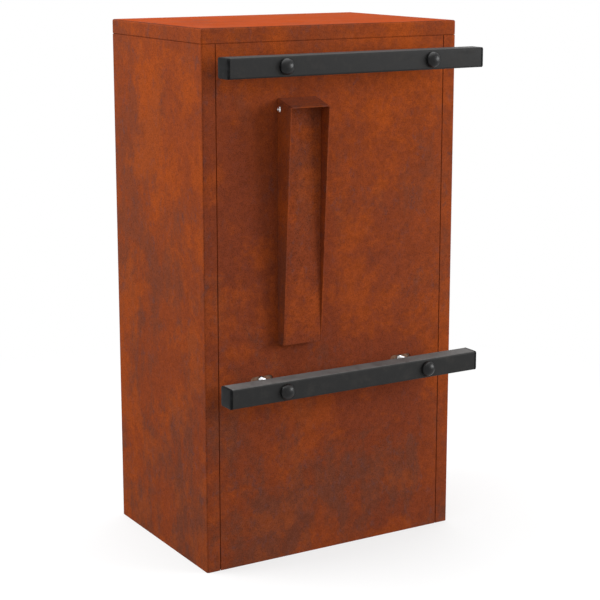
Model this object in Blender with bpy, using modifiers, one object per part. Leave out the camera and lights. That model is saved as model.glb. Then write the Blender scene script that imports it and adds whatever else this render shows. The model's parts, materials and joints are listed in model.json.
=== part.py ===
"""A weathering-steel mailbox that clamps to a fence: a folded cabinet with a roof cap, a hood and two
clamp tubes at the rear, and a lockable door and a letter flap at the front. Metres, +Z up."""

import math

import bmesh
import bpy
from mathutils import Matrix, Vector

# Cabinet
BOX_WIDTH = 0.326
BOX_DEPTH = 0.222
BOX_HEIGHT = 0.600
SHEET = 0.0015
INNER_FOLD = 0.0006
SEAM = 0.0008
FIT = 0.0003
ROOF_SKIRT = 0.016
ROOF_COLLAR_DROP = 0.010
REAR_FLANGE = 0.0162
LIP = 0.012
FLOOR_UPSTAND = 0.015
DRAIN_RADIUS = 0.003
DRAIN_INSET = 0.040

# Clamp tubes and their bolts, behind the rear panel
FENCE_GAP = 0.033
CLAMP_SIZE = 0.022
CLAMP_WALL = 0.0015
CLAMP_END_INSET = 0.0014
CLAMP_BELOW_TOP = 0.0385
CLAMP_SPACING = 0.3485
PLUG_FLANGE = 0.0025
PLUG_STUB = 0.012
PLUG_EDGE = 0.0008
BOLT_SPACING = 0.185
BOLT_RADIUS = 0.003
BOLT_OVERHANG = 0.003
HEX_FLATS = 0.010
HEAD_HEIGHT = 0.004
NUT_HEIGHT = 0.005
CAP_WALL = 0.0025
CAP_CROWN = 0.0028
CAP_RIM = 0.0010
ADJUST_SLOT_LENGTH = 0.028
ADJUST_SLOT_HEIGHT = 0.008
BACKING_LENGTH = 0.046
BACKING_HEIGHT = 0.024
BACKING_SHEET = 0.002

# Tapered hood on the rear panel
HOOD_CENTRE_X = 0.0473
HOOD_WIDTH = 0.0494
HOOD_BELOW_TOP = 0.0767
HOOD_LENGTH = 0.2717
HOOD_DEPTH_TOP = 0.0293
HOOD_DEPTH_BOTTOM = 0.0125
HOOD_DROP = 0.0078
HOOD_FACE_DEPTH = 0.0130
HOOD_SCREW_SETBACK = 0.0060
HOOD_SCREW_BELOW_TOP = 0.0118
HOOD_BRACKET_HEIGHT = 0.0165
HOOD_BRACKET_EDGE = 0.0014
SCREW_RADIUS = 0.0018
SCREW_LENGTH = 0.0060
SCREW_HEAD_RADIUS = 0.0032
SCREW_HEAD_HEIGHT = 0.0022
SCREW_HEAD_RIM = 0.0007

# Front door with its hinge pins
DOOR_SIDE_MARGIN = 0.030
DOOR_OPENING_BOTTOM = 0.045
DOOR_BELOW_SLOT = 0.0495
DOOR_GAP = 0.0015
HINGE_INSET = 0.007
HINGE_PIN_RADIUS = 0.0020
HINGE_EDGE = 0.0006
HINGE_HEAD_RIM = 0.0010
HINGE_HEAD_HEIGHT = 0.0015
HINGE_REACH = 0.004
BRACKET_SHEET = 0.002
BRACKET_WIDTH = 0.016
BRACKET_LEAF = 0.014
BRACKET_EDGE = 0.0029

# Cam lock near the door's free edge
LOCK_FROM_EDGE = 0.022
LOCK_BARREL_RADIUS = 0.008
LOCK_FLANGE_RADIUS = 0.010
LOCK_FLANGE_HEIGHT = 0.0025
LOCK_FLANGE_CHAMFER = 0.0008
LOCK_BODY_DEPTH = 0.0140
LOCK_PLUG_RADIUS = 0.0050
LOCK_PLUG_RECESS = 0.0004
LOCK_NUT_FLATS = 0.022
LOCK_NUT_HEIGHT = 0.004
KEY_SLOT_WIDTH = 0.0014
KEY_SLOT_LENGTH = 0.0064
KEY_SLOT_DEPTH = 0.0040
CAM_LENGTH = 0.036
CAM_WIDTH = 0.014
CAM_SHEET = 0.002
CAM_SCREW_RADIUS = 0.002
CAM_SCREW_REACH = 0.006
CAM_SCREW_HEAD_RADIUS = 0.0036
CAM_SCREW_HEAD_HEIGHT = 0.0024
KEEPER_FROM_OPENING = 0.003
KEEPER_WIDTH = 0.012
KEEPER_HEIGHT = 0.036
KEEPER_CLEARANCE = 0.0006

# Letter slot and its hanging flap
SLOT_WIDTH = 0.235
SLOT_HEIGHT = 0.032
SLOT_BELOW_TOP = 0.088
SLOT_COLLAR_INSIDE = 0.012
FLAP_CLEARANCE = 0.0005
FLAP_OVERLAP = 0.006
FLAP_LIP = 0.006
FLAP_LIP_LEAN = 40.0
FLAP_CURL_START = -60.0
FLAP_ROD_RADIUS = 0.0020
EAR_SHEET = 0.002
EAR_MARGIN = 0.0040
EAR_SIDE_GAP = 0.0008
GUARD_WIDTH = 0.240
GUARD_LEAF = 0.020
GUARD_RUN = 0.070
GUARD_DROP = 0.040

# Fineness of round shapes
FOLD_STEPS = 3
ROUND_STEPS = 32
SMALL_STEPS = 20
CURL_STEP = 15.0
CUT_MARGIN = 0.002
THROUGH_SHEET = SHEET + 2 * CUT_MARGIN
MERGE = 0.00001
FOLD_ANGLE = math.radians(25)

# Surface finishes: base colour, roughness, metallic
RUST = ((0.160, 0.040, 0.018), 0.85, 0.0)
BLACK_PAINT = ((0.036, 0.037, 0.038), 0.55, 0.0)
BLACK_PLASTIC = ((0.020, 0.021, 0.022), 0.35, 0.0)
ZINC = ((0.560, 0.560, 0.580), 0.35, 1.0)
LOCK_METAL = ((0.620, 0.620, 0.630), 0.20, 1.0)

# Places that follow from the sizes above
FRONT = -BOX_DEPTH / 2
REAR = BOX_DEPTH / 2
INSIDE_FRONT = FRONT + SHEET
INSIDE_REAR = REAR - SHEET
FOLD_RADIUS = SHEET + INNER_FOLD
BRACKET_FOLD = BRACKET_SHEET + INNER_FOLD
SEAM_HEIGHT = BOX_HEIGHT - ROOF_SKIRT
WALL_TOP = SEAM_HEIGHT - SEAM
CLAMP_INNER = REAR + FENCE_GAP
CLAMP_OUTER = CLAMP_INNER + CLAMP_SIZE
CLAMP_LENGTH = BOX_WIDTH - 2 * CLAMP_END_INSET
UPPER_CLAMP = BOX_HEIGHT - CLAMP_BELOW_TOP
CLAMP_HEIGHTS = {"upper": UPPER_CLAMP, "lower": UPPER_CLAMP - CLAMP_SPACING}
CAP_POCKET = HEX_FLATS / math.sqrt(3) + FIT
HOOD_TOP = BOX_HEIGHT - HOOD_BELOW_TOP
HOOD_BOTTOM = HOOD_TOP - HOOD_LENGTH
HOOD_SLOPE = math.atan2(HOOD_DROP, HOOD_DEPTH_TOP)
HOOD_BRACKET_DEPTH = HOOD_SCREW_SETBACK + SCREW_RADIUS + FIT + HOOD_BRACKET_EDGE
SLOT_CENTRE = BOX_HEIGHT - SLOT_BELOW_TOP
SLOT_OUTER_RISE = SLOT_HEIGHT / 2 + SHEET
DOOR_OPENING_HALF = BOX_WIDTH / 2 - DOOR_SIDE_MARGIN
DOOR_OPENING_TOP = SLOT_CENTRE - SLOT_OUTER_RISE - DOOR_BELOW_SLOT
PIN_HOLE_RADIUS = HINGE_PIN_RADIUS + FIT
HINGE_HEAD_RADIUS = HINGE_PIN_RADIUS + HINGE_HEAD_RIM
HINGE_SETBACK = SHEET + FIT + BRACKET_SHEET + FIT + HINGE_HEAD_RADIUS
DOOR_FOLD = HINGE_SETBACK + PIN_HOLE_RADIUS + HINGE_EDGE
SIDES = {"left": 1, "right": -1}

# How a section drawn in a plane lies in the world: its own x, y and normal axes
ALONG_Z = Matrix(((1, 0, 0), (0, 1, 0), (0, 0, 1)))
ALONG_X = Matrix(((0, 0, 1), (1, 0, 0), (0, 1, 0)))
ALONG_Y = Matrix(((0, 1, 0), (0, 0, 1), (1, 0, 0)))
TO_REAR = (-math.pi / 2, 0, 0)
TO_FRONT = (math.pi / 2, 0, 0)


def start_scene():
    """Removes what the scene holds and adds one collection for the pieces and one for the cutters."""
    for old in list(bpy.data.objects):
        bpy.data.objects.remove(old, do_unlink=True)
    pieces = bpy.data.collections.new("rusty_mailbox")
    tools = bpy.data.collections.new("cutters")
    bpy.context.scene.collection.children.link(pieces)
    bpy.context.scene.collection.children.link(tools)
    tools.hide_render = True
    return pieces, tools


PIECES, CUTTERS = start_scene()


def finish(obj, look):
    """Gives the piece its own surface."""
    colour, roughness, metallic = look
    made = bpy.data.materials.new(obj.name + "_surface")
    made.use_nodes = True
    shader = made.node_tree.nodes["Principled BSDF"]
    shader.inputs["Base Color"].default_value = (*colour, 1)
    shader.inputs["Roughness"].default_value = roughness
    shader.inputs["Metallic"].default_value = metallic
    obj.data.materials.append(made)
    return obj


def add_mesh(name, built, collection=None):
    """Turns a bmesh into an object."""
    mesh = bpy.data.meshes.new(name)
    built.to_mesh(mesh)
    built.free()
    obj = bpy.data.objects.new(name, mesh)
    (collection or PIECES).objects.link(obj)
    return obj


def as_cutter(obj):
    obj.hide_render = True
    obj.display_type = "WIRE"
    return obj


def box(name, low, high, collection=None):
    """A block between two opposite corners."""
    low, high = Vector(low), Vector(high)
    built = bmesh.new()
    size = high - low
    place = Matrix.Translation((low + high) / 2) @ Matrix.Diagonal((*size, 1))
    bmesh.ops.create_cube(built, size=1, matrix=place)
    return add_mesh(name, built, collection)


def cutter_box(name, low, high):
    return as_cutter(box(name, low, high, CUTTERS))


def rod(name, centre, radius, length, axis, collection=None, steps=SMALL_STEPS):
    """A straight round bar with its middle at centre."""
    built = bmesh.new()
    bmesh.ops.create_cone(
        built, cap_ends=True, segments=steps, radius1=radius, radius2=radius, depth=length
    )
    bmesh.ops.transform(built, matrix=axis.to_4x4(), verts=built.verts)
    bmesh.ops.translate(built, vec=centre, verts=built.verts)
    return add_mesh(name, built, collection)


def cutter_rod(name, centre, radius, length, axis):
    return as_cutter(rod(name, centre, radius, length, axis, CUTTERS))


def cut(obj, cutter):
    """Takes the cutter's shape out of the piece."""
    modifier = obj.modifiers.new("cut_" + cutter.name, "BOOLEAN")
    modifier.operation = "DIFFERENCE"
    modifier.object = cutter


def join(obj, other):
    """Makes the other shape one body with the piece."""
    modifier = obj.modifiers.new("join_" + other.name, "BOOLEAN")
    modifier.operation = "UNION"
    modifier.object = other
    as_cutter(other)


def fold(obj, radius=FOLD_RADIUS, steps=FOLD_STEPS):
    """Rounds each fold of an open sheet, on its outer face."""
    modifier = obj.modifiers.new("fold", "BEVEL")
    modifier.width = radius
    modifier.segments = steps
    modifier.limit_method = "ANGLE"
    modifier.angle_limit = FOLD_ANGLE


def thicken(obj, thickness=SHEET):
    """Gives an open sheet its thickness, behind the face that was drawn."""
    modifier = obj.modifiers.new("sheet", "SOLIDIFY")
    modifier.thickness = thickness
    modifier.offset = -1
    modifier.use_even_offset = True


def folded_sheet(name, line, axis, low, high, thickness=SHEET, closed=False, radius=FOLD_RADIUS):
    """A sheet folded along a line of corners and running from low to high along the axis.

    The line's right-hand side is the outer face. Radius is how far each fold reaches back from its
    corner, which is the fold's own radius where it turns through a right angle."""
    built = bmesh.new()
    corners = [built.verts.new((x, y, high)) for x, y in line]
    pairs = list(zip(corners, corners[1:]))
    if closed:
        pairs.append((corners[-1], corners[0]))
    edges = [built.edges.new(pair) for pair in pairs]
    made = bmesh.ops.extrude_edge_only(built, edges=edges)["geom"]
    lower = [item for item in made if isinstance(item, bmesh.types.BMVert)]
    bmesh.ops.translate(built, vec=(0, 0, low - high), verts=lower)
    across = (corners[1].co - corners[0].co).normalized()
    outward = across.cross(Vector((0, 0, 1)))
    first = next(face for face in built.faces if corners[0] in face.verts and corners[1] in face.verts)
    bmesh.ops.recalc_face_normals(built, faces=built.faces)
    first.normal_update()
    if first.normal.dot(outward) < 0:
        bmesh.ops.reverse_faces(built, faces=built.faces)
    bmesh.ops.transform(built, matrix=axis.to_4x4(), verts=built.verts)
    obj = add_mesh(name, built)
    fold(obj, radius)
    thicken(obj, thickness)
    return obj


def tray(name, low, high, open_side, thickness=SHEET):
    """A folded pan: a block's outer faces without the one whose normal is open_side."""
    obj = box(name, low, high)
    built = bmesh.new()
    built.from_mesh(obj.data)
    side = Vector(open_side)
    lost = [face for face in built.faces if face.normal.angle(side) < FOLD_ANGLE]
    bmesh.ops.delete(built, geom=lost, context="FACES_ONLY")
    built.to_mesh(obj.data)
    built.free()
    fold(obj)
    thicken(obj, thickness)
    return obj


def turned(name, profile, place=(0, 0, 0), rotation=(0, 0, 0), closed=False, steps=ROUND_STEPS):
    """A turned piece: a profile of (radius, height) pairs spun about its own Z axis."""
    built = bmesh.new()
    points = [built.verts.new((radius, 0, height)) for radius, height in profile]
    for start, end in zip(points, points[1:]):
        built.edges.new((start, end))
    if closed:
        built.edges.new((points[-1], points[0]))
    obj = add_mesh(name, built)
    screw = obj.modifiers.new("turn", "SCREW")
    screw.axis = "Z"
    screw.angle = math.tau
    screw.steps = steps
    screw.render_steps = steps
    screw.use_merge_vertices = True
    screw.merge_threshold = MERGE
    screw.use_smooth_shade = True
    obj.location = place
    obj.rotation_euler = rotation
    return obj


def flat_plate(name, outlines, thickness, collection=None):
    """A flat piece cut to one outline, with any further outlines as its holes, about the plane z = 0."""
    curve = bpy.data.curves.new(name + "_outline", "CURVE")
    curve.dimensions = "2D"
    curve.fill_mode = "BOTH"
    curve.extrude = thickness / 2
    for outline in outlines:
        spline = curve.splines.new("POLY")
        spline.points.add(len(outline) - 1)
        for point, (x, y) in zip(spline.points, outline):
            point.co = (x, y, 0, 1)
        spline.use_cyclic_u = True
    drawn = bpy.data.objects.new(name + "_outline", curve)
    PIECES.objects.link(drawn)
    graph = bpy.context.evaluated_depsgraph_get()
    mesh = bpy.data.meshes.new_from_object(drawn.evaluated_get(graph))
    bpy.data.objects.remove(drawn)
    bpy.data.curves.remove(curve)
    built = bmesh.new()
    built.from_mesh(mesh)
    bmesh.ops.remove_doubles(built, verts=built.verts, dist=MERGE)
    built.to_mesh(mesh)
    built.free()
    mesh.name = name
    obj = bpy.data.objects.new(name, mesh)
    (collection or PIECES).objects.link(obj)
    return obj


def circle(radius, centre=(0, 0), steps=SMALL_STEPS):
    return [
        (
            centre[0] + radius * math.cos(math.tau * step / steps),
            centre[1] + radius * math.sin(math.tau * step / steps),
        )
        for step in range(steps)
    ]


def hexagon(flats):
    return circle(flats / math.sqrt(3), steps=6)


def rectangle(width, height, centre=(0, 0)):
    x, y = centre
    return [
        (x - width / 2, y - height / 2),
        (x + width / 2, y - height / 2),
        (x + width / 2, y + height / 2),
        (x - width / 2, y + height / 2),
    ]


def long_hole(length, height):
    """The outline of a hole with round ends, lying along x."""
    steps = SMALL_STEPS // 2
    radius = height / 2
    reach = length / 2 - radius
    outline = []
    for side, start in ((1, -90), (-1, 90)):
        for step in range(steps + 1):
            angle = math.radians(start + 180 * step / steps)
            outline.append((side * reach + radius * math.cos(angle), radius * math.sin(angle)))
    return outline


def pivot(name, place):
    """An empty on a joint's axis, for the pieces that turn about it."""
    empty = bpy.data.objects.new(name, None)
    empty.location = place
    PIECES.objects.link(empty)
    return empty


def hang(obj, empty):
    """Parents a piece to a pivot and leaves it where it is."""
    obj.parent = empty
    obj.matrix_parent_inverse = Matrix.Translation(-empty.location)
    return obj


# Cabinet pieces


def make_notches():
    """Blocks that clear the rear lips where the floor pan and the roof's collar pass."""
    inner_face = INSIDE_REAR - FIT / 2
    deepest = REAR - LIP - CUT_MARGIN
    half = BOX_WIDTH / 2 - SHEET - FIT
    floor_notch = cutter_box(
        "floor_notch",
        (-half, deepest, -CUT_MARGIN),
        (half, inner_face, FLOOR_UPSTAND + CUT_MARGIN),
    )
    roof_notch = cutter_box(
        "roof_notch",
        (-half, deepest, SEAM_HEIGHT - ROOF_COLLAR_DROP - CUT_MARGIN),
        (half, inner_face, SEAM_HEIGHT + CUT_MARGIN),
    )
    return floor_notch, roof_notch


def make_casing(notches):
    """Front, both sides and the rear flanges, folded from one sheet."""
    half = BOX_WIDTH / 2
    flange = half - REAR_FLANGE
    line = [
        (-flange, REAR - LIP),
        (-flange, REAR),
        (-half, REAR),
        (-half, FRONT),
        (half, FRONT),
        (half, REAR),
        (flange, REAR),
        (flange, REAR - LIP),
    ]
    casing = finish(folded_sheet("casing", line, ALONG_Z, 0, WALL_TOP), RUST)
    for notch in notches:
        cut(casing, notch)
    door_hole = cutter_box(
        "door_opening",
        (-DOOR_OPENING_HALF, FRONT - CUT_MARGIN, DOOR_OPENING_BOTTOM),
        (DOOR_OPENING_HALF, INSIDE_FRONT + CUT_MARGIN, DOOR_OPENING_TOP),
    )
    cut(casing, door_hole)
    slot_half = SLOT_WIDTH / 2 + SHEET + FIT
    slot_rise = SLOT_OUTER_RISE + FIT
    slot_hole = cutter_box(
        "letter_slot",
        (-slot_half, FRONT - CUT_MARGIN, SLOT_CENTRE - slot_rise),
        (slot_half, INSIDE_FRONT + CUT_MARGIN, SLOT_CENTRE + slot_rise),
    )
    cut(casing, slot_hole)
    return casing


def make_rear_panel(notches):
    """The panel between the rear flanges, with a long hole for each clamp bolt."""
    edge = BOX_WIDTH / 2 - REAR_FLANGE - SEAM
    line = [(edge, REAR - LIP), (edge, REAR), (-edge, REAR), (-edge, REAR - LIP)]
    panel = finish(folded_sheet("rear_panel", line, ALONG_Z, 0, WALL_TOP), RUST)
    for notch in notches:
        cut(panel, notch)
    for level, height in CLAMP_HEIGHTS.items():
        for side, sign in SIDES.items():
            outline = long_hole(ADJUST_SLOT_LENGTH, ADJUST_SLOT_HEIGHT)
            hole = flat_plate(f"bolt_slot_{level}_{side}", [outline], THROUGH_SHEET, CUTTERS)
            hole.location = (sign * BOLT_SPACING / 2, REAR - SHEET / 2, height)
            hole.rotation_euler = TO_REAR
            cut(panel, as_cutter(hole))
    return panel


def make_roof():
    """The flat roof cap with its skirt, and the collar that seats it in the cabinet."""
    half_width = BOX_WIDTH / 2
    finish(
        tray("roof_cap", (-half_width, FRONT, SEAM_HEIGHT), (half_width, REAR, BOX_HEIGHT), (0, 0, -1)),
        RUST,
    )
    reach = half_width - SHEET - FIT
    depth = REAR - SHEET - FIT
    line = [(reach, -depth), (reach, depth), (-reach, depth), (-reach, -depth)]
    finish(
        folded_sheet(
            "roof_collar",
            line,
            ALONG_Z,
            SEAM_HEIGHT - ROOF_COLLAR_DROP,
            BOX_HEIGHT - SHEET - FIT,
            closed=True,
        ),
        RUST,
    )


def make_floor():
    """The floor pan inside the walls, with a drain hole near each corner."""
    reach = BOX_WIDTH / 2 - SHEET - FIT
    depth = REAR - SHEET - FIT
    pan = finish(tray("floor_pan", (-reach, -depth, 0), (reach, depth, FLOOR_UPSTAND), (0, 0, 1)), RUST)
    for side, sign in SIDES.items():
        for end, way in (("front", -1), ("rear", 1)):
            place = (sign * (reach - DRAIN_INSET), way * (depth - DRAIN_INSET), SHEET / 2)
            cut(pan, cutter_rod(f"drain_{end}_{side}", place, DRAIN_RADIUS, THROUGH_SHEET, ALONG_Z))


# Clamp tubes and their fasteners


def make_clamp_tube(level, height):
    half = CLAMP_LENGTH / 2 - PLUG_FLANGE - FIT
    low_y, high_y = CLAMP_INNER, CLAMP_OUTER
    low_z, high_z = height - CLAMP_SIZE / 2, height + CLAMP_SIZE / 2
    line = [(low_y, low_z), (high_y, low_z), (high_y, high_z), (low_y, high_z)]
    tube = finish(
        folded_sheet(
            f"clamp_tube_{level}",
            line,
            ALONG_X,
            -half,
            half,
            thickness=CLAMP_WALL,
            closed=True,
            radius=CLAMP_WALL + INNER_FOLD,
        ),
        BLACK_PAINT,
    )
    middle = (low_y + high_y) / 2
    for side, sign in SIDES.items():
        place = (sign * BOLT_SPACING / 2, middle, height)
        length = CLAMP_SIZE + 2 * CUT_MARGIN
        hole = cutter_rod(f"tube_hole_{level}_{side}", place, BOLT_RADIUS + FIT, length, ALONG_Y)
        cut(tube, hole)


def make_tube_plug(level, side, sign, height):
    """A plastic end plug: a square flange with a stub that fills the tube's mouth."""
    name = f"tube_plug_{level}_{side}"
    half = CLAMP_SIZE / 2
    stub = half - CLAMP_WALL - FIT
    plug = box(name, (-half, -half, 0), (half, half, PLUG_FLANGE))
    rounding = plug.modifiers.new("edges", "BEVEL")
    rounding.width = PLUG_EDGE
    rounding.segments = 2
    rounding.limit_method = "ANGLE"
    join(plug, box(name + "_stub", (-stub, -stub, -PLUG_STUB), (stub, stub, PLUG_FLANGE / 2), CUTTERS))
    helper = bpy.data.objects[name + "_stub"]
    for obj in (plug, helper):
        obj.location = (sign * (CLAMP_LENGTH / 2 - PLUG_FLANGE), CLAMP_INNER + half, height)
        obj.rotation_euler = (0, sign * math.pi / 2, 0)
    finish(plug, BLACK_PLASTIC)


def make_clamp_bolt(tag, place, length):
    """A hexagon-head bolt, its head's seat at place and its shank running into the cabinet."""
    bolt = turned(
        f"clamp_bolt_{tag}",
        [(0, HEAD_HEIGHT / 2), (BOLT_RADIUS, HEAD_HEIGHT / 2), (BOLT_RADIUS, -length), (0, -length)],
        place,
        TO_REAR,
        steps=SMALL_STEPS,
    )
    head = flat_plate(f"bolt_head_{tag}", [hexagon(HEX_FLATS)], HEAD_HEIGHT, CUTTERS)
    head.location = Vector(place) + Vector((0, FIT + HEAD_HEIGHT / 2, 0))
    head.rotation_euler = TO_REAR
    join(bolt, head)
    finish(bolt, ZINC)


def make_bolt_cap(tag, place):
    """A domed plastic cap that covers the bolt's head."""
    radius = CAP_POCKET + CAP_WALL
    ceiling = FIT + HEAD_HEIGHT + FIT
    dome = ceiling + CAP_CROWN - CAP_RIM
    quarter = ROUND_STEPS // 4
    profile = []
    for step in range(quarter + 1):
        angle = math.pi / 2 * step / quarter
        profile.append((radius * math.sin(angle), CAP_RIM + dome * math.cos(angle)))
    profile += [(radius, FIT), (CAP_POCKET, FIT), (CAP_POCKET, ceiling), (0, ceiling)]
    finish(turned(f"bolt_cap_{tag}", profile, place, TO_REAR), BLACK_PLASTIC)


def make_clamp_fasteners():
    backing_y = INSIDE_REAR - FIT - BACKING_SHEET / 2
    nut_y = INSIDE_REAR - BACKING_SHEET - 2 * FIT - NUT_HEIGHT / 2
    length = CLAMP_OUTER - (nut_y - NUT_HEIGHT / 2) + BOLT_OVERHANG
    for level, height in CLAMP_HEIGHTS.items():
        for side, sign in SIDES.items():
            tag = f"{level}_{side}"
            x = sign * BOLT_SPACING / 2
            make_clamp_bolt(tag, (x, CLAMP_OUTER, height), length)
            make_bolt_cap(tag, (x, CLAMP_OUTER, height))
            outlines = [rectangle(BACKING_LENGTH, BACKING_HEIGHT), circle(BOLT_RADIUS + FIT)]
            washer = finish(flat_plate(f"backing_plate_{tag}", outlines, BACKING_SHEET), ZINC)
            washer.location = (x, backing_y, height)
            washer.rotation_euler = TO_REAR
            nut = flat_plate(f"clamp_nut_{tag}", [hexagon(HEX_FLATS), circle(BOLT_RADIUS + FIT)], NUT_HEIGHT)
            nut.location = (x, nut_y, height)
            nut.rotation_euler = TO_REAR
            finish(nut, ZINC)


# Hood on the rear panel


def hood_roof_height(depth):
    """Height of the hood's roof, on its outer face, at a distance from the panel."""
    return HOOD_TOP - depth * math.tan(HOOD_SLOPE)


def below_hood_roof(depth):
    """The greatest height that clears the underside of the hood's roof at a distance from the panel."""
    return hood_roof_height(depth) - (SHEET + FIT) / math.cos(HOOD_SLOPE)


def make_hood_shell():
    """The hood's roof and its two tapering walls, folded from one sheet."""
    half = HOOD_WIDTH / 2
    outline = [
        (-CUT_MARGIN, hood_roof_height(-CUT_MARGIN)),
        (-CUT_MARGIN, HOOD_BOTTOM),
        (HOOD_DEPTH_BOTTOM, HOOD_BOTTOM),
        (HOOD_DEPTH_TOP, HOOD_TOP - HOOD_DROP),
    ]
    built = bmesh.new()
    wall = [built.verts.new((half, y, z)) for y, z in outline]
    built.faces.new(wall)
    roof_edge = built.edges.get((wall[0], wall[3]))
    made = bmesh.ops.extrude_edge_only(built, edges=[roof_edge])["geom"]
    inner = [item for item in made if isinstance(item, bmesh.types.BMVert)]
    bmesh.ops.translate(built, vec=(-half, 0, 0), verts=inner)
    bmesh.ops.recalc_face_normals(built, faces=built.faces)
    built.faces.ensure_lookup_table()
    if built.faces[0].normal.x < 0:
        bmesh.ops.reverse_faces(built, faces=built.faces)
    hood = add_mesh("hood_shell", built)
    mirror = hood.modifiers.new("other_half", "MIRROR")
    mirror.use_axis = (True, False, False)
    mirror.merge_threshold = MERGE
    fold(hood)
    thicken(hood)
    hood.location = (HOOD_CENTRE_X, REAR, 0)
    finish(hood, RUST)
    root_trim = cutter_box(
        "hood_root_trim",
        (HOOD_CENTRE_X - half - CUT_MARGIN, REAR - 2 * CUT_MARGIN, HOOD_BOTTOM - CUT_MARGIN),
        (HOOD_CENTRE_X + half + CUT_MARGIN, REAR + FIT, HOOD_TOP + CUT_MARGIN),
    )
    cut(hood, root_trim)
    for side, sign in SIDES.items():
        place = (
            HOOD_CENTRE_X + sign * (half - SHEET / 2),
            REAR + HOOD_SCREW_SETBACK,
            HOOD_TOP - HOOD_SCREW_BELOW_TOP,
        )
        cut(hood, cutter_rod(f"hood_hole_{side}", place, SCREW_RADIUS + FIT, THROUGH_SHEET, ALONG_X))


def make_hood_face():
    """The plate welded between the hood's walls."""
    half = HOOD_WIDTH / 2 - SHEET - FIT
    face = box(
        "hood_face",
        (HOOD_CENTRE_X - half, REAR + HOOD_FACE_DEPTH - SHEET, HOOD_BOTTOM),
        (HOOD_CENTRE_X + half, REAR + HOOD_FACE_DEPTH, below_hood_roof(HOOD_FACE_DEPTH)),
    )
    finish(face, RUST)


def make_hood_bracket():
    """A channel on the panel, whose ears take the hood's two screws."""
    half = HOOD_WIDTH / 2 - SHEET - FIT
    left, right = HOOD_CENTRE_X + half, HOOD_CENTRE_X - half
    base, ear_end = REAR + FIT, REAR + HOOD_BRACKET_DEPTH
    line = [(right, ear_end), (right, base), (left, base), (left, ear_end)]
    top = below_hood_roof(HOOD_BRACKET_DEPTH)
    bracket = folded_sheet("hood_bracket", line, ALONG_Z, top - HOOD_BRACKET_HEIGHT, top)
    finish(bracket, RUST)
    height = HOOD_TOP - HOOD_SCREW_BELOW_TOP
    for side, sign in SIDES.items():
        place = (HOOD_CENTRE_X + sign * (half - SHEET / 2), REAR + HOOD_SCREW_SETBACK, height)
        cut(bracket, cutter_rod(f"ear_hole_{side}", place, SCREW_RADIUS + FIT, THROUGH_SHEET, ALONG_X))


def make_hood_screw(side, sign):
    """A pan-head screw through the hood's wall and the bracket's ear."""
    rim = FIT + SCREW_HEAD_RIM
    dome = SCREW_HEAD_HEIGHT - SCREW_HEAD_RIM
    quarter = SMALL_STEPS // 4
    profile = []
    for step in range(quarter + 1):
        angle = math.pi / 2 * step / quarter
        profile.append((SCREW_HEAD_RADIUS * math.sin(angle), rim + dome * math.cos(angle)))
    profile += [
        (SCREW_HEAD_RADIUS, FIT),
        (SCREW_RADIUS, FIT),
        (SCREW_RADIUS, -SCREW_LENGTH),
        (0, -SCREW_LENGTH),
    ]
    place = (
        HOOD_CENTRE_X + sign * HOOD_WIDTH / 2,
        REAR + HOOD_SCREW_SETBACK,
        HOOD_TOP - HOOD_SCREW_BELOW_TOP,
    )
    turning = (0, sign * math.pi / 2, 0)
    finish(turned(f"hood_screw_{side}", profile, place, turning, steps=SMALL_STEPS), ZINC)


# Door, hinge pins and lock

DOOR_LEFT = -DOOR_OPENING_HALF + DOOR_GAP
DOOR_RIGHT = DOOR_OPENING_HALF - DOOR_GAP
DOOR_LOW = DOOR_OPENING_BOTTOM + DOOR_GAP
DOOR_HIGH = DOOR_OPENING_TOP - DOOR_GAP
HINGE_X = DOOR_LEFT + HINGE_INSET
HINGE_Y = FRONT + HINGE_SETBACK
DOOR_MIDDLE = (DOOR_LOW + DOOR_HIGH) / 2
LOCK_X = DOOR_RIGHT - LOCK_FROM_EDGE
HINGE_ENDS = {"upper": (DOOR_OPENING_TOP, 1), "lower": (DOOR_OPENING_BOTTOM, -1)}
CAM_FRONT = LOCK_BODY_DEPTH + 2 * FIT


def make_door(axis):
    """The door pan, with holes for the hinge pins and the lock."""
    door = tray("door", (DOOR_LEFT, FRONT, DOOR_LOW), (DOOR_RIGHT, FRONT + DOOR_FOLD, DOOR_HIGH), (0, 1, 0))
    for end, (height, way) in HINGE_ENDS.items():
        place = (HINGE_X, HINGE_Y, height - way * (DOOR_GAP + SHEET / 2))
        cut(door, cutter_rod(f"pin_hole_{end}", place, PIN_HOLE_RADIUS, THROUGH_SHEET, ALONG_Z))
    place = (LOCK_X, FRONT + SHEET / 2, DOOR_MIDDLE)
    cut(door, cutter_rod("lock_hole", place, LOCK_BARREL_RADIUS + FIT, THROUGH_SHEET, ALONG_Y))
    hang(finish(door, RUST), axis)


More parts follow.
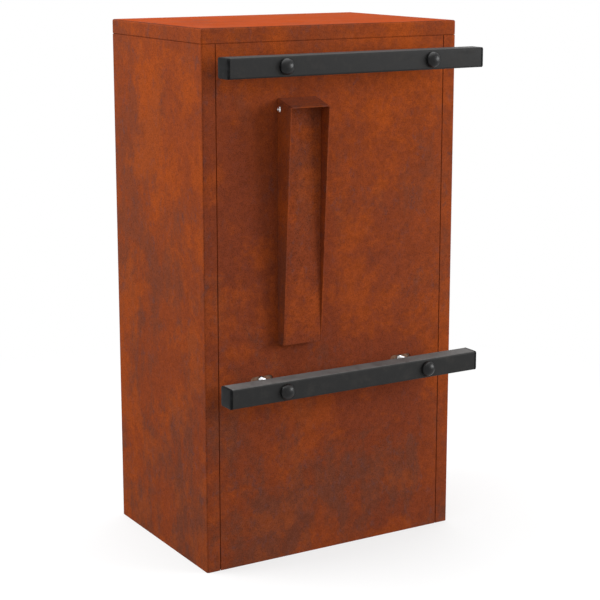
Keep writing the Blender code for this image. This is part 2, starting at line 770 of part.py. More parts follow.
def make_hinge(end, height, way):
    """A bracket behind the front sheet and the pin that it holds in the door's fold."""
    leaf = INSIDE_FRONT + FIT
    shelf = HINGE_Y + PIN_HOLE_RADIUS + BRACKET_EDGE
    if way > 0:
        line = [(leaf, height + BRACKET_LEAF), (leaf, height), (shelf, height)]
    else:
        line = [(shelf, height), (leaf, height), (leaf, height - BRACKET_LEAF)]
    bracket = folded_sheet(
        f"hinge_bracket_{end}",
        line,
        ALONG_X,
        HINGE_X - BRACKET_WIDTH / 2,
        HINGE_X + BRACKET_WIDTH / 2,
        thickness=BRACKET_SHEET,
        radius=BRACKET_FOLD,
    )
    finish(bracket, ZINC)
    middle = (HINGE_X, HINGE_Y, height + way * BRACKET_SHEET / 2)
    hole = cutter_rod(f"bracket_hole_{end}", middle, PIN_HOLE_RADIUS, 2 * BRACKET_SHEET, ALONG_Z)
    cut(bracket, hole)
    reach = BRACKET_SHEET + DOOR_GAP + SHEET + HINGE_REACH
    profile = [
        (0, FIT + HINGE_HEAD_HEIGHT),
        (HINGE_HEAD_RADIUS, FIT + HINGE_HEAD_HEIGHT),
        (HINGE_HEAD_RADIUS, FIT),
        (HINGE_PIN_RADIUS, FIT),
        (HINGE_PIN_RADIUS, -reach),
        (0, -reach),
    ]
    place = (HINGE_X, HINGE_Y, height + way * BRACKET_SHEET)
    turning = (0, 0, 0) if way > 0 else (math.pi, 0, 0)
    finish(turned(f"hinge_pin_{end}", profile, place, turning, steps=SMALL_STEPS), ZINC)


def make_lock_case(axis):
    """The lock's barrel in the door and the nut behind the door."""
    bore = LOCK_PLUG_RADIUS + FIT
    place = (LOCK_X, FRONT, DOOR_MIDDLE)
    profile = [
        (bore, LOCK_FLANGE_HEIGHT),
        (LOCK_FLANGE_RADIUS - LOCK_FLANGE_CHAMFER, LOCK_FLANGE_HEIGHT),
        (LOCK_FLANGE_RADIUS, LOCK_FLANGE_HEIGHT - LOCK_FLANGE_CHAMFER),
        (LOCK_FLANGE_RADIUS, FIT),
        (LOCK_BARREL_RADIUS, FIT),
        (LOCK_BARREL_RADIUS, -LOCK_BODY_DEPTH),
        (bore, -LOCK_BODY_DEPTH),
    ]
    hang(finish(turned("lock_barrel", profile, place, TO_FRONT, closed=True), LOCK_METAL), axis)
    outlines = [hexagon(LOCK_NUT_FLATS), circle(LOCK_BARREL_RADIUS + FIT, steps=ROUND_STEPS)]
    nut = finish(flat_plate("lock_nut", outlines, LOCK_NUT_HEIGHT), ZINC)
    nut.location = (LOCK_X, FRONT + SHEET + FIT + LOCK_NUT_HEIGHT / 2, DOOR_MIDDLE)
    nut.rotation_euler = TO_FRONT
    hang(nut, axis)


def make_lock_core(axis):
    """What the key turns: the plug, the cam and the screw that holds the cam."""
    place = Vector((LOCK_X, FRONT, DOOR_MIDDLE))
    face = LOCK_FLANGE_HEIGHT - LOCK_PLUG_RECESS
    back = -LOCK_BODY_DEPTH - FIT
    bore = CAM_SCREW_RADIUS + FIT
    bore_end = back + CAM_SCREW_REACH + FIT
    profile = [
        (0, face),
        (LOCK_PLUG_RADIUS, face),
        (LOCK_PLUG_RADIUS, back),
        (bore, back),
        (bore, bore_end),
        (0, bore_end),
    ]
    plug = finish(turned("lock_plug", profile, place, TO_FRONT), LOCK_METAL)
    key_slot = cutter_box(
        "key_slot",
        (LOCK_X - KEY_SLOT_WIDTH / 2, FRONT - face - CUT_MARGIN, DOOR_MIDDLE - KEY_SLOT_LENGTH / 2),
        (LOCK_X + KEY_SLOT_WIDTH / 2, FRONT - face + KEY_SLOT_DEPTH, DOOR_MIDDLE + KEY_SLOT_LENGTH / 2),
    )
    cut(plug, key_slot)
    hang(plug, axis)

    reach = CAM_LENGTH - CAM_WIDTH / 2
    outline = long_hole(reach + CAM_WIDTH, CAM_WIDTH)
    outline = [(x - reach / 2, y) for x, y in outline]
    cam = flat_plate("lock_cam", [outline, circle(bore)], CAM_SHEET)
    cam.location = place + Vector((0, CAM_FRONT + CAM_SHEET / 2, 0))
    cam.rotation_euler = (math.pi / 2, -math.pi / 2, 0)
    hang(finish(cam, ZINC), axis)

    head_top = -CAM_FRONT - CAM_SHEET - FIT
    profile = [
        (0, back + CAM_SCREW_REACH),
        (CAM_SCREW_RADIUS, back + CAM_SCREW_REACH),
        (CAM_SCREW_RADIUS, head_top),
        (CAM_SCREW_HEAD_RADIUS, head_top),
        (CAM_SCREW_HEAD_RADIUS, head_top - CAM_SCREW_HEAD_HEIGHT),
        (0, head_top - CAM_SCREW_HEAD_HEIGHT),
    ]
    screw = finish(turned("cam_screw", profile, place, TO_FRONT, steps=SMALL_STEPS), ZINC)
    hang(screw, axis)


def make_keeper():
    """The angle behind the front sheet that the cam turns behind."""
    near = DOOR_OPENING_HALF + KEEPER_FROM_OPENING
    leaf = INSIDE_FRONT + FIT
    tip = FRONT + CAM_FRONT - KEEPER_CLEARANCE
    line = [(near, tip), (near, leaf), (near + KEEPER_WIDTH, leaf)]
    low, high = DOOR_MIDDLE - KEEPER_HEIGHT / 2, DOOR_MIDDLE + KEEPER_HEIGHT / 2
    keeper = folded_sheet(
        "lock_keeper",
        line,
        ALONG_Z,
        low,
        high,
        thickness=BRACKET_SHEET,
        radius=BRACKET_FOLD,
    )
    finish(keeper, ZINC)


# Letter slot, flap and guard

CURL_INNER = FLAP_ROD_RADIUS + FIT
CURL_OUTER = CURL_INNER + SHEET
FLAP_Y = FRONT - CURL_OUTER - FLAP_CLEARANCE
FLAP_Z = SLOT_CENTRE + SLOT_OUTER_RISE + CURL_OUTER + 2 * FLAP_CLEARANCE
FLAP_HALF = SLOT_WIDTH / 2 + SHEET + FLAP_OVERLAP
COLLAR_FRONT = FLAP_Y - CURL_INNER + FLAP_CLEARANCE


def make_slot_collar():
    """The letter slot's frame, welded through the front sheet."""
    half = SLOT_WIDTH / 2 + SHEET
    low, high = SLOT_CENTRE - SLOT_OUTER_RISE, SLOT_CENTRE + SLOT_OUTER_RISE
    line = [(low, -half), (high, -half), (high, half), (low, half)]
    back = INSIDE_FRONT + SLOT_COLLAR_INSIDE
    collar = folded_sheet("slot_collar", line, ALONG_Y, COLLAR_FRONT, back, closed=True)
    finish(collar, RUST)


def make_flap(axis):
    """The letter flap, curled round its rod and lipped at its lower edge."""
    line = []
    turns = round((180 - FLAP_CURL_START) / CURL_STEP)
    for step in range(turns + 1):
        angle = math.radians(FLAP_CURL_START + CURL_STEP * step)
        line.append((FLAP_Y + CURL_OUTER * math.cos(angle), FLAP_Z + CURL_OUTER * math.sin(angle)))
    bottom = SLOT_CENTRE - SLOT_OUTER_RISE - FLAP_OVERLAP
    face = FLAP_Y - CURL_OUTER
    lean = math.radians(FLAP_LIP_LEAN)
    line += [
        (face, bottom),
        (face - FLAP_LIP * math.sin(lean), bottom - FLAP_LIP * math.cos(lean)),
    ]
    flap = folded_sheet("letter_flap", line, ALONG_X, -FLAP_HALF, FLAP_HALF)
    hang(finish(flap, RUST), axis)


def make_flap_rod():
    length = 2 * (FLAP_HALF + EAR_SIDE_GAP + EAR_SHEET + SHEET)
    finish(rod("flap_rod", (0, FLAP_Y, FLAP_Z), FLAP_ROD_RADIUS, length, ALONG_X), ZINC)


def make_flap_ear(side, sign):
    """One of the two ears on the front sheet that hold the flap's rod."""
    radius = FLAP_ROD_RADIUS + EAR_MARGIN
    root = FRONT - FIT
    outline = [(root, FLAP_Z - radius), (root, FLAP_Z + radius)]
    half_turn = SMALL_STEPS // 2
    for step in range(half_turn + 1):
        angle = math.pi / 2 + math.pi * step / half_turn
        outline.append((FLAP_Y + radius * math.cos(angle), FLAP_Z + radius * math.sin(angle)))
    hole = circle(FLAP_ROD_RADIUS + FIT, (FLAP_Y, FLAP_Z))
    ear = flat_plate(f"flap_ear_{side}", [outline, hole], EAR_SHEET)
    middle = sign * (FLAP_HALF + EAR_SIDE_GAP + EAR_SHEET / 2)
    ear.matrix_world = Matrix.Translation((middle, 0, 0)) @ ALONG_X.to_4x4()
    finish(ear, RUST)


def make_letter_guard():
    """A folded sheet below the slot, which leads letters in and keeps hands out."""
    leaf = INSIDE_FRONT + FIT
    top = SLOT_CENTRE - SLOT_OUTER_RISE - SHEET
    line = [(leaf + GUARD_RUN, top - GUARD_DROP), (leaf, top), (leaf, top - GUARD_LEAF)]
    turn = math.pi / 2 + math.atan2(GUARD_DROP, GUARD_RUN)
    reach = FOLD_RADIUS * math.tan(turn / 2)
    guard = folded_sheet("letter_guard", line, ALONG_X, -GUARD_WIDTH / 2, GUARD_WIDTH / 2, radius=reach)
    finish(guard, RUST)


def make_mailbox():
    notches = make_notches()
    make_casing(notches)
    make_rear_panel(notches)
    make_roof()
    make_floor()
    for level, height in CLAMP_HEIGHTS.items():
        make_clamp_tube(level, height)
        for side, sign in SIDES.items():
            make_tube_plug(level, side, sign, height)
    make_clamp_fasteners()
    make_hood_shell()
    make_hood_face()
    make_hood_bracket()
    for side, sign in SIDES.items():
        make_hood_screw(side, sign)
    door_axis = pivot("door_axis", (HINGE_X, HINGE_Y, DOOR_MIDDLE))
    make_door(door_axis)
    for end, (height, way) in HINGE_ENDS.items():
        make_hinge(end, height, way)
    make_lock_case(door_axis)
    make_lock_core(pivot("lock_axis", (LOCK_X, FRONT, DOOR_MIDDLE)))
    make_keeper()
    make_slot_collar()
    make_flap(pivot("flap_axis", (0, FLAP_Y, FLAP_Z)))
    make_flap_rod()
    for side, sign in SIDES.items():
        make_flap_ear(side, sign)
    make_letter_guard()


make_mailbox()
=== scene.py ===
# %% [markdown]
# # A weathering-steel mailbox that clamps to a fence
#
# The real object is a tall letterbox folded from sheet steel that is meant to rust. Two black square tubes
# clamp it to a fence, and a tapered hood is screwed to its rear panel. The door, its lock, the letter slot
# and the flap are on the other side.
#
# The solids of all 49 pieces are loaded first, and are never moved. Then each piece gets the surface and
# the fine shape of the real one: soft sheet edges, threads, moulded caps, welds.

import json
from math import cos, pi, radians, sin, tan, tau

import bmesh
import bpy
from mathutils import Matrix, Vector

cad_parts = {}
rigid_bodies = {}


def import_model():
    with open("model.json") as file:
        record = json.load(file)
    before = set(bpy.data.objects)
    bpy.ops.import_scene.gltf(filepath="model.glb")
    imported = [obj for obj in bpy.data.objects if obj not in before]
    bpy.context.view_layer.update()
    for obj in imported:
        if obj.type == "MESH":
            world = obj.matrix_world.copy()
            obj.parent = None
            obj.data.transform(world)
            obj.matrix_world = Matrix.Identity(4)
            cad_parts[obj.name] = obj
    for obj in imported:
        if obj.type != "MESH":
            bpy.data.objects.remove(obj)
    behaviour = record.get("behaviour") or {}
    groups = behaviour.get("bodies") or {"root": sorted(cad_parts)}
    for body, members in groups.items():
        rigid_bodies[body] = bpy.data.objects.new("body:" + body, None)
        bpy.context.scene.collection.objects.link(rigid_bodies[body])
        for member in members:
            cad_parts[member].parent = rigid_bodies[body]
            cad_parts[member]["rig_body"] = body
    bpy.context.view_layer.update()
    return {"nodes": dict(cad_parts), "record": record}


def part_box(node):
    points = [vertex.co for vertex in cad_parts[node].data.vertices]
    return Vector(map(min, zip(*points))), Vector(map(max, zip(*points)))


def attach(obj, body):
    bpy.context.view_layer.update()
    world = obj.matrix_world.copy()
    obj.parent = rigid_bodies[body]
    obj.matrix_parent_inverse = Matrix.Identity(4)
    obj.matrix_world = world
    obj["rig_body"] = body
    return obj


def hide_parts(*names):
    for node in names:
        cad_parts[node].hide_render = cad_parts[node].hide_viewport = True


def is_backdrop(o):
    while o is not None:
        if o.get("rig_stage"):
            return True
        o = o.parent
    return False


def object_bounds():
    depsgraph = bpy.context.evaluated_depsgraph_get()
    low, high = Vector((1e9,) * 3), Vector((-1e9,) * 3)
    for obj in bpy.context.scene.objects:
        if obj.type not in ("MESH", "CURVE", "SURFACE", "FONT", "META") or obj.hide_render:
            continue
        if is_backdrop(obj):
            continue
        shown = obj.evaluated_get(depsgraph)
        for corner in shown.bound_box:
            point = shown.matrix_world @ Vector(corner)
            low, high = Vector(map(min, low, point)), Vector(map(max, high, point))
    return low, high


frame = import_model()
scene = bpy.context.scene
scene.view_settings.view_transform = "Standard"
print("pieces in the frame:", len(frame["nodes"]))

# %% [markdown]
# ## The camera
#
# The mailbox is seen from behind, a little from its left and from above its lid. A long lens, well back,
# keeps the upright edges almost parallel, as in a catalogue picture. A constraint could aim the camera,
# but a direction turned into a rotation once stays where it is put.

# %% Camera
CAMERA_PLACE = Vector((0.9469, 1.6231, 0.6962))
CAMERA_YAW = radians(30.860)
CAMERA_TILT = radians(11.694)
LENS_MM = 97.54
FRAME_SHIFT = -0.05


def show(name, data):
    made = bpy.data.objects.new(name, data)
    scene.collection.objects.link(made)
    return made


camera = show("camera", bpy.data.cameras.new("camera"))
camera.data.lens = LENS_MM
camera.data.shift_y = FRAME_SHIFT
level = cos(CAMERA_TILT)
aim = Vector((-sin(CAMERA_YAW) * level, -cos(CAMERA_YAW) * level, -sin(CAMERA_TILT)))
camera.location = CAMERA_PLACE
camera.rotation_mode = "QUATERNION"
camera.rotation_quaternion = aim.to_track_quat("-Z", "Y")
scene.camera = camera

# %% [markdown]
# ## Small helpers for shader nodes
#
# A material is a recipe: coordinates go in, patterns are mixed, and a colour, a roughness and a bump come
# out. Placing nodes one by one takes a dozen lines each. These helpers make each node one line.

# %% Node helpers
def add_node(tree, kind, inputs=None, **settings):
    """Adds a node, a shader one unless its kind says another, with its options and inputs."""
    node = tree.nodes.new(kind if "Node" in kind else "ShaderNode" + kind)
    for option, value in settings.items():
        setattr(node, option, value)
    for socket, value in (inputs or {}).items():
        if isinstance(value, bpy.types.NodeSocket):
            tree.links.new(value, node.inputs[socket])
        else:
            node.inputs[socket].default_value = value
    return node


def flow(tree, kind, inputs, **settings):
    """Adds one node and gives its first output."""
    return add_node(tree, kind, inputs, **settings).outputs[0]


def noise(tree, place, scale, detail=3.0, rough=0.5, warp=0.0):
    """Cloudy values between about 0.2 and 0.8."""
    inputs = {"Vector": place, "Scale": scale, "Detail": detail, "Roughness": rough, "Distortion": warp}
    return flow(tree, "TexNoise", inputs)


def calc(tree, operation, first, second=0.0, third=0.0):
    return flow(tree, "Math", {0: first, 1: second, 2: third}, operation=operation)


def times(tree, first, second):
    return calc(tree, "MULTIPLY", first, second)


def spread(tree, value, low, high, to_low=0.0, to_high=1.0):
    """Maps low..high to another range, with soft ends."""
    inputs = {"Value": value, "From Min": low, "From Max": high, "To Min": to_low, "To Max": to_high}
    return flow(tree, "MapRange", inputs, interpolation_type="SMOOTHSTEP")


def blend(tree, share, first, second):
    """A colour between two colours."""
    ends = [value if isinstance(value, bpy.types.NodeSocket) else (*value, 1) for value in (first, second)]
    return add_node(tree, "Mix", {0: share, 6: ends[0], 7: ends[1]}, data_type="RGBA").outputs[2]


def place_in(tree, scale=(1, 1, 1), shift=(0, 0, 0)):
    """The piece's own coordinates in metres, stretched and shifted."""
    own = add_node(tree, "TexCoord").outputs["Object"]
    return flow(tree, "Mapping", {"Vector": own, "Location": shift, "Scale": scale})


def axes(tree, vector):
    """A vector's three numbers, as outputs named X, Y and Z."""
    return add_node(tree, "SeparateXYZ", {0: vector}).outputs


def facing(tree):
    """The way that the surface faces, as outputs named X, Y and Z."""
    return axes(tree, add_node(tree, "TexCoord").outputs["Normal"])


def combine(tree, x=0.0, y=0.0, z=0.0):
    return flow(tree, "CombineXYZ", {"X": x, "Y": y, "Z": z})


def length_of(tree, vector):
    return add_node(tree, "VectorMath", {0: vector}, operation="LENGTH").outputs["Value"]


def bump(tree, height, depth, under=None):
    """Raises the surface by height times depth in metres, over another bump if given."""
    inputs = {"Height": height, "Distance": depth, "Strength": 1.0}
    if under is not None:
        inputs["Normal"] = under
    return flow(tree, "Bump", inputs)


def make_material(name, recipe, metallic=0.0, shine=0.5):
    """A material from a recipe, which fills its tree and gives colour, roughness and normal."""
    made = bpy.data.materials.new(name)
    made.use_nodes = True
    shader = made.node_tree.nodes["Principled BSDF"]
    shader.inputs["Metallic"].default_value = metallic
    shader.inputs["Specular IOR Level"].default_value = shine
    for label, value in zip(("Base Color", "Roughness", "Normal"), recipe(made.node_tree)):
        made.node_tree.links.new(value, shader.inputs[label])
    print("made", name, "with", len(made.node_tree.nodes), "nodes")
    return made


print("node helpers ready")

# %% [markdown]
# ## Weathering steel
#
# Weathering steel keeps a dense, dull layer of rust. From a distance it is one warm orange-brown. Close up
# it is cloudy: grey-brown where the layer is old, orange where it is young, with soft streaks where rain
# ran down and a fine grain all over. A photograph of rust could be wrapped round the sheets, but layers
# of noise have no seams and no repeats.
#
# A base colour follows the age of the rust. Broad dark areas, old patches, grey specks and young orange
# patches lie over it, and tiny dark pits come last. The broad dark areas are partly rust tone and partly
# painted shade, darker where less light falls on the rear panel. Rain keeps the lid orange, and slanted
# faces such as the hood's roof are darkened as painted shade. Panels and side walls look into different
# parts of the same noise, so that no cloud carries on round a corner.

# %% Weathering steel
RUST_DEEP = (0.170, 0.042, 0.0195)
RUST_BROWN = (0.250, 0.0505, 0.0150)
RUST_ORANGE = (0.345, 0.0640, 0.0105)
RUST_BRIGHT = (0.440, 0.080, 0.006)
# Dark brown for the broad clouds, partly rust tone and partly painted shade.
RUST_DARK_AND_SHADE = (0.140, 0.032, 0.018)
RUST_OLD = (0.140, 0.045, 0.026)
RUST_GREY = (0.128, 0.052, 0.044)
RUST_WASHED = (0.262, 0.036, 0.003)
RUST_SHADE = (0.020, 0.004, 0.001)
# A near-black brown, painted shade for slanted faces.
RUST_SLOPE_SHADE = (0.020, 0.008, 0.008)
RUST_SHINE = 0.02
WALL_TOP = 0.6
AGE_START = 0.19
AGE_SHARES = {"clouds": 0.14, "patches": 0.10, "mottle": 0.10, "grain": 0.20, "streaks": 0.08}
# Where the panels and the side walls look into each cloud pattern, in metres.
BROAD_SHIFTS = ((0.145, 0.580, -3.117), (1.320, -3.847, 0.003))
OLD_SHIFTS = ((-1.753, 0.950, -1.705), (0.580, -0.864, 0.480))
YOUNG_SHIFTS = ((1.707, 0.950, -1.450), (0.210, 0.590, 1.125))


def place_by_face(tree, side_wall, scale, shifts):
    """The piece's own coordinates, shifted one way on panels and another on side walls."""
    either = {0: side_wall, 4: shifts[0], 5: shifts[1]}
    mixed = add_node(tree, "Mix", either, data_type="VECTOR").outputs[1]
    return place_in(tree, scale, mixed)


def rust_patterns(tree):
    """The layers of noise, from soft clouds to pits."""
    flat = place_in(tree)
    upright = place_in(tree, (1.0, 1.0, 0.78), (0.31, 0.17, 0.0))
    runs = place_in(tree, (1.0, 1.0, 0.14), (0.0, 0.43, 0.0))
    return {
        "clouds": noise(tree, upright, 6.5, 3.0, 0.5, 0.3),
        "patches": noise(tree, upright, 30.0, 3.0, 0.6, 0.4),
        "mottle": noise(tree, upright, 105.0, 3.0, 0.65, 0.3),
        "grain": noise(tree, flat, 330.0, 3.0, 0.7),
        "streaks": noise(tree, runs, 80.0, 3.0, 0.6),
        "pits": noise(tree, flat, 900.0, 4.0, 0.65),
    }


def rust_by_age(tree, patterns):
    """Brown where the summed noise is low, orange where it is high."""
    age = AGE_START
    for label, share in AGE_SHARES.items():
        age = calc(tree, "MULTIPLY_ADD", patterns[label], share, age)
    colour = blend(tree, spread(tree, age, 0.36, 0.52), RUST_DEEP, RUST_BROWN)
    return blend(tree, spread(tree, age, 0.48, 0.64), colour, RUST_ORANGE)


def lay_dark_patches(tree, colour, side_wall, height, streaks):
    """Broad dark areas, partly painted shade, old patches low on the walls, and grey specks where rust is
    old.
    """
    taller = (1.0, 1.0, 0.8)
    # The broad dark clouds are partly rust tone and partly painted shade: darker where less light falls on
    # the rear panel.
    broad = noise(tree, place_by_face(tree, side_wall, taller, BROAD_SHIFTS), 4.6, 3.0, 0.45, 0.6)
    broad_tone_and_shade_share = spread(tree, side_wall, 0.0, 1.0, 0.50, 0.18)
    colour = blend(tree, times(tree, spread(tree, broad, 0.38, 0.68), broad_tone_and_shade_share), colour, RUST_DARK_AND_SHADE)

    old = noise(tree, place_by_face(tree, side_wall, taller, OLD_SHIFTS), 9.0, 10.0, 0.74, 0.3)
    smeared = calc(tree, "MULTIPLY_ADD", streaks, 0.30, old)
    settled = spread(tree, height, 0.0, WALL_TOP, 0.80, 0.42)
    colour = blend(tree, times(tree, spread(tree, smeared, 0.62, 0.76), settled), colour, RUST_OLD)

    speck_place = place_in(tree, (1.0, 1.0, 0.7), (0.5, 0.3, 0.7))
    specks = spread(tree, noise(tree, speck_place, 120.0, 6.0, 0.72, 0.3), 0.54, 0.64)
    speck_share = spread(tree, old, 0.40, 0.56, 0.10, 0.50)
    return blend(tree, times(tree, specks, speck_share), colour, RUST_GREY), old


def lay_young_patches(tree, colour, side_wall, height):
    """Bright orange patches, which the rain washes clean high on the walls."""
    young = noise(tree, place_by_face(tree, side_wall, (1.0, 1.0, 1.0), YOUNG_SHIFTS), 11.0, 10.0, 0.74, 0.2)
    exposed = spread(tree, height, 0.0, WALL_TOP, 0.28, 0.38)
    return blend(tree, times(tree, spread(tree, young, 0.47, 0.60), exposed), colour, RUST_BRIGHT)


def lay_shade_and_rain(tree, colour, side_wall, upward, pits, old):
    """Fine dark pits everywhere, orange on the flat lid, and painted shade on slanted faces such as the
    hood's roof.
    """
    shade = noise(tree, place_in(tree), 140.0, 4.0, 0.9, 0.2)
    depth = spread(tree, side_wall, 0.0, 1.0, 0.24, 0.14)
    colour = blend(tree, spread(tree, shade, 0.34, 0.64, depth, 0.0), colour, RUST_SHADE)
    colour = blend(tree, spread(tree, pits, 0.30, 0.54, 0.50, 0.0), colour, RUST_SHADE)
    washed = times(tree, spread(tree, upward, 0.97, 0.995), spread(tree, old, 0.44, 0.60, 0.86, 0.48))
    colour = blend(tree, washed, colour, RUST_WASHED)
    # Painted shade: slanted faces, the hood's roof above all, are darkened where the cabinet and the upper
    # tube shade them.
    painted_slope_shade = times(tree, spread(tree, upward, 0.45, 0.55), spread(tree, upward, 0.96, 0.99, 0.44, 0.0))
    return blend(tree, painted_slope_shade, colour, RUST_SLOPE_SHADE)


def rust_recipe(tree):
    patterns = rust_patterns(tree)
    height = axes(tree, place_in(tree))["Z"]
    faces = facing(tree)
    side_wall = spread(tree, calc(tree, "ABSOLUTE", faces["X"]), 0.70, 0.72)
    colour = rust_by_age(tree, patterns)
    colour, old = lay_dark_patches(tree, colour, side_wall, height, patterns["streaks"])
    colour = lay_young_patches(tree, colour, side_wall, height)
    colour = lay_shade_and_rain(tree, colour, side_wall, faces["Z"], patterns["pits"], old)

    roughness = spread(tree, patterns["patches"], 0.3, 0.7, 0.92, 0.76)
    normal = bump(tree, patterns["patches"], 0.0003)
    normal = bump(tree, patterns["grain"], 0.00016, normal)
    return colour, roughness, bump(tree, patterns["pits"], 0.00004, normal)


weathering_steel = make_material("rusted_steel", rust_recipe, shine=RUST_SHINE)

# %% [markdown]
# ## Black powder coat and black plastic
#
# The clamp tubes are powder coated: matte black, with the slight orange peel of baked powder, and with
# dust. Their upper faces are painted a lighter grey as painted light from above, nearly full on the lower
# tube and faint on the upper one. Plugs and bolt caps are moulded plastic, the caps the shinier of the
# two. So close to black, most of what is seen is reflection. A clear coat could lie over the black, but
# roughness and specular level are enough, and easier to judge.

# %% Black powder coat and black plastic
PAINT_BLACK = (0.0180, 0.0180, 0.0180)
PAINT_DUST = (0.0290, 0.0275, 0.0260)
# A lighter grey, painted light on the tubes' upper faces.
PAINT_TOP_LIGHT = (0.1050, 0.1020, 0.1000)
PLASTIC_BLACK = (0.0065, 0.0070, 0.0075)
PLASTIC_WORN = (0.0150, 0.0155, 0.0160)
CAP_BLACK = (0.0040, 0.0040, 0.0043)
CAP_WORN = (0.0105, 0.0102, 0.0100)
PAINT_SHINE = 0.10
PLUG_SHINE = 0.04
CAP_SHINE = 0.24


def paint_recipe(tree):
    place = place_in(tree)
    peel = noise(tree, place, 900.0, 2.0)
    dust = noise(tree, place_in(tree, shift=(0.4, 0.2, 0.1)), 60.0, 6.0, 0.7, 0.3)
    scuffs = noise(tree, place_in(tree, (0.15, 1.0, 1.0)), 260.0, 4.0, 0.7)
    colour = blend(tree, spread(tree, dust, 0.45, 0.75), PAINT_BLACK, PAINT_DUST)
    # Painted light: upper faces are lighter grey, broken up by the dust, nearly full on the lower tube and
    # faint on the upper one.
    dusty_lit_top = times(tree, spread(tree, facing(tree)["Z"], 0.6, 0.95), spread(tree, dust, 0.3, 0.6, 0.6, 1.0))
    top_light_by_height = spread(tree, axes(tree, place)["Z"], 0.25, 0.50, 0.95, 0.12)
    colour = blend(tree, times(tree, dusty_lit_top, top_light_by_height), colour, PAINT_TOP_LIGHT)
    worn = spread(tree, scuffs, 0.55, 0.7, 0.0, 0.08)
    roughness = calc(tree, "ADD", spread(tree, dust, 0.3, 0.7, 0.46, 0.60), worn)
    return colour, roughness, bump(tree, peel, 0.00006)


def plastic_recipe(new, rubbed, smooth):
    def recipe(tree):
        skin = noise(tree, place_in(tree), 1600.0, 2.0)
        worn = noise(tree, place_in(tree, shift=(0.1, 0.5, 0.2)), 140.0, 5.0, 0.65)
        colour = blend(tree, spread(tree, worn, 0.5, 0.75), new, rubbed)
        return colour, spread(tree, worn, 0.3, 0.7, smooth, 0.42), bump(tree, skin, 0.00002)
    return recipe


black_paint = make_material("black_powder_coat", paint_recipe, shine=PAINT_SHINE)
moulded = plastic_recipe(PLASTIC_BLACK, PLASTIC_WORN, 0.30)
black_plastic = make_material("moulded_plastic", moulded, shine=PLUG_SHINE)
cap_plastic = make_material("cap_plastic", plastic_recipe(CAP_BLACK, CAP_WORN, 0.33), shine=CAP_SHINE)

# %% [markdown]
# ## Zinc plate and lock metal
#
# The bolts, nuts and brackets are zinc plated: bright, with faint cloudy spangle and a dull bloom. The
# lock is nickel plated and was turned on a lathe, which leaves fine rings round its axis. One even metal
# could serve for both, but looks like a mirror. Noise in the roughness makes it plate.

# %% Zinc plate and lock metal
ZINC_BRIGHT = (0.84, 0.85, 0.87)
ZINC_DULL = (0.56, 0.56, 0.55)
# Browns for the zinc behind the panel: rust stain, and partly painted shade and reflection.
ZINC_AGED_SHADED = (0.26, 0.17, 0.12)
ZINC_RUSTY_SHADED = (0.19, 0.085, 0.045)
NICKEL = (0.52, 0.51, 0.48)
NICKEL_DARK = (0.30, 0.29, 0.27)
RINGS_PER_METRE = 9000.0


def zinc_recipe(tree):
    place = place_in(tree)
    spangle = noise(tree, place, 380.0, 3.0, 0.6, 0.6)
    bloom = noise(tree, place_in(tree, shift=(0.3, 0.3, 0.8)), 120.0, 6.0, 0.7)
    fine = noise(tree, place, 2200.0, 2.0)
    colour = blend(tree, spread(tree, bloom, 0.48, 0.72), ZINC_BRIGHT, ZINC_DULL)
    dulled = spread(tree, bloom, 0.5, 0.75, 0.0, 0.25)
    roughness = calc(tree, "ADD", spread(tree, spangle, 0.3, 0.7, 0.24, 0.36), dulled)
    return colour, roughness, bump(tree, fine, 0.00001)


def nickel_recipe(tree):
    barrel_low, barrel_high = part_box("lock_barrel")
    centre = (barrel_low + barrel_high) / 2
    place = place_in(tree, shift=(-centre.x, 0.0, -centre.z))
    across = axes(tree, place)
    radius = length_of(tree, combine(tree, across["X"], across["Z"]))
    ring_inputs = {"W": times(tree, radius, RINGS_PER_METRE), "Scale": 1.0}
    rings = flow(tree, "TexNoise", ring_inputs, noise_dimensions="1D")
    stain = noise(tree, place_in(tree), 300.0, 5.0, 0.6)
    colour = blend(tree, spread(tree, stain, 0.5, 0.8), NICKEL, NICKEL_DARK)
    return colour, spread(tree, stain, 0.3, 0.7, 0.18, 0.32), bump(tree, rings, 0.000008)


def stained_shaded_recipe(tree):
    """Zinc behind the rusting panel: dull, tinted by rust, and darkened by painted shade and reflection of
    the panel.
    """
    stain = noise(tree, place_in(tree, shift=(0.2, 0.6, 0.1)), 160.0, 6.0, 0.65, 0.4)
    fine = noise(tree, place_in(tree), 1400.0, 2.0)
    colour = blend(tree, spread(tree, stain, 0.35, 0.65), ZINC_AGED_SHADED, ZINC_RUSTY_SHADED)
    return colour, spread(tree, stain, 0.3, 0.7, 0.55, 0.80), bump(tree, fine, 0.00001)


zinc = make_material("zinc_plate", zinc_recipe, metallic=1.0)
stained_shaded_zinc = make_material("stained_shaded_zinc", stained_shaded_recipe, metallic=0.35, shine=0.2)
lock_metal = make_material("nickel_plate", nickel_recipe, metallic=1.0)

# %% [markdown]
# ## Every piece gets its finish
#
# The record says which finish each piece has. They could be set by hand, one by one. A loop over that
# list forgets none, and swaps each plain surface that came with a solid for the detailed one.

# %% Finish by slot
FINISHES = {
    "weathering_steel": weathering_steel,
    "black_paint": black_paint,
    "black_plastic": black_plastic,
    "zinc_steel": zinc,
    "lock_metal": lock_metal,
}
SLOT_OF = {entry["node"]: entry["material_slot"] for entry in frame["record"]["subparts"]}
for node, piece in frame["nodes"].items():
    for surface in piece.material_slots:
        surface.material = FINISHES[SLOT_OF[node]]
print("pieces finished:", len(SLOT_OF))

# %% [markdown]
# ## Soft edges on the folded sheets
#
# The solids in the frame have edges of no width. On real sheet the laser cut and the rust leave them about
# a quarter of a millimetre round, and that round catches the light along every rim. Each sheet could be
# modelled again by hand. A Bevel modifier on a merged copy makes the round for all of them at once, and
# Weighted Normal keeps the broad faces flat.
#
# The rear panel and the casing meet in two narrow seams. The folds there are pressed tighter than the
# others, so that each seam reads as one thin line.

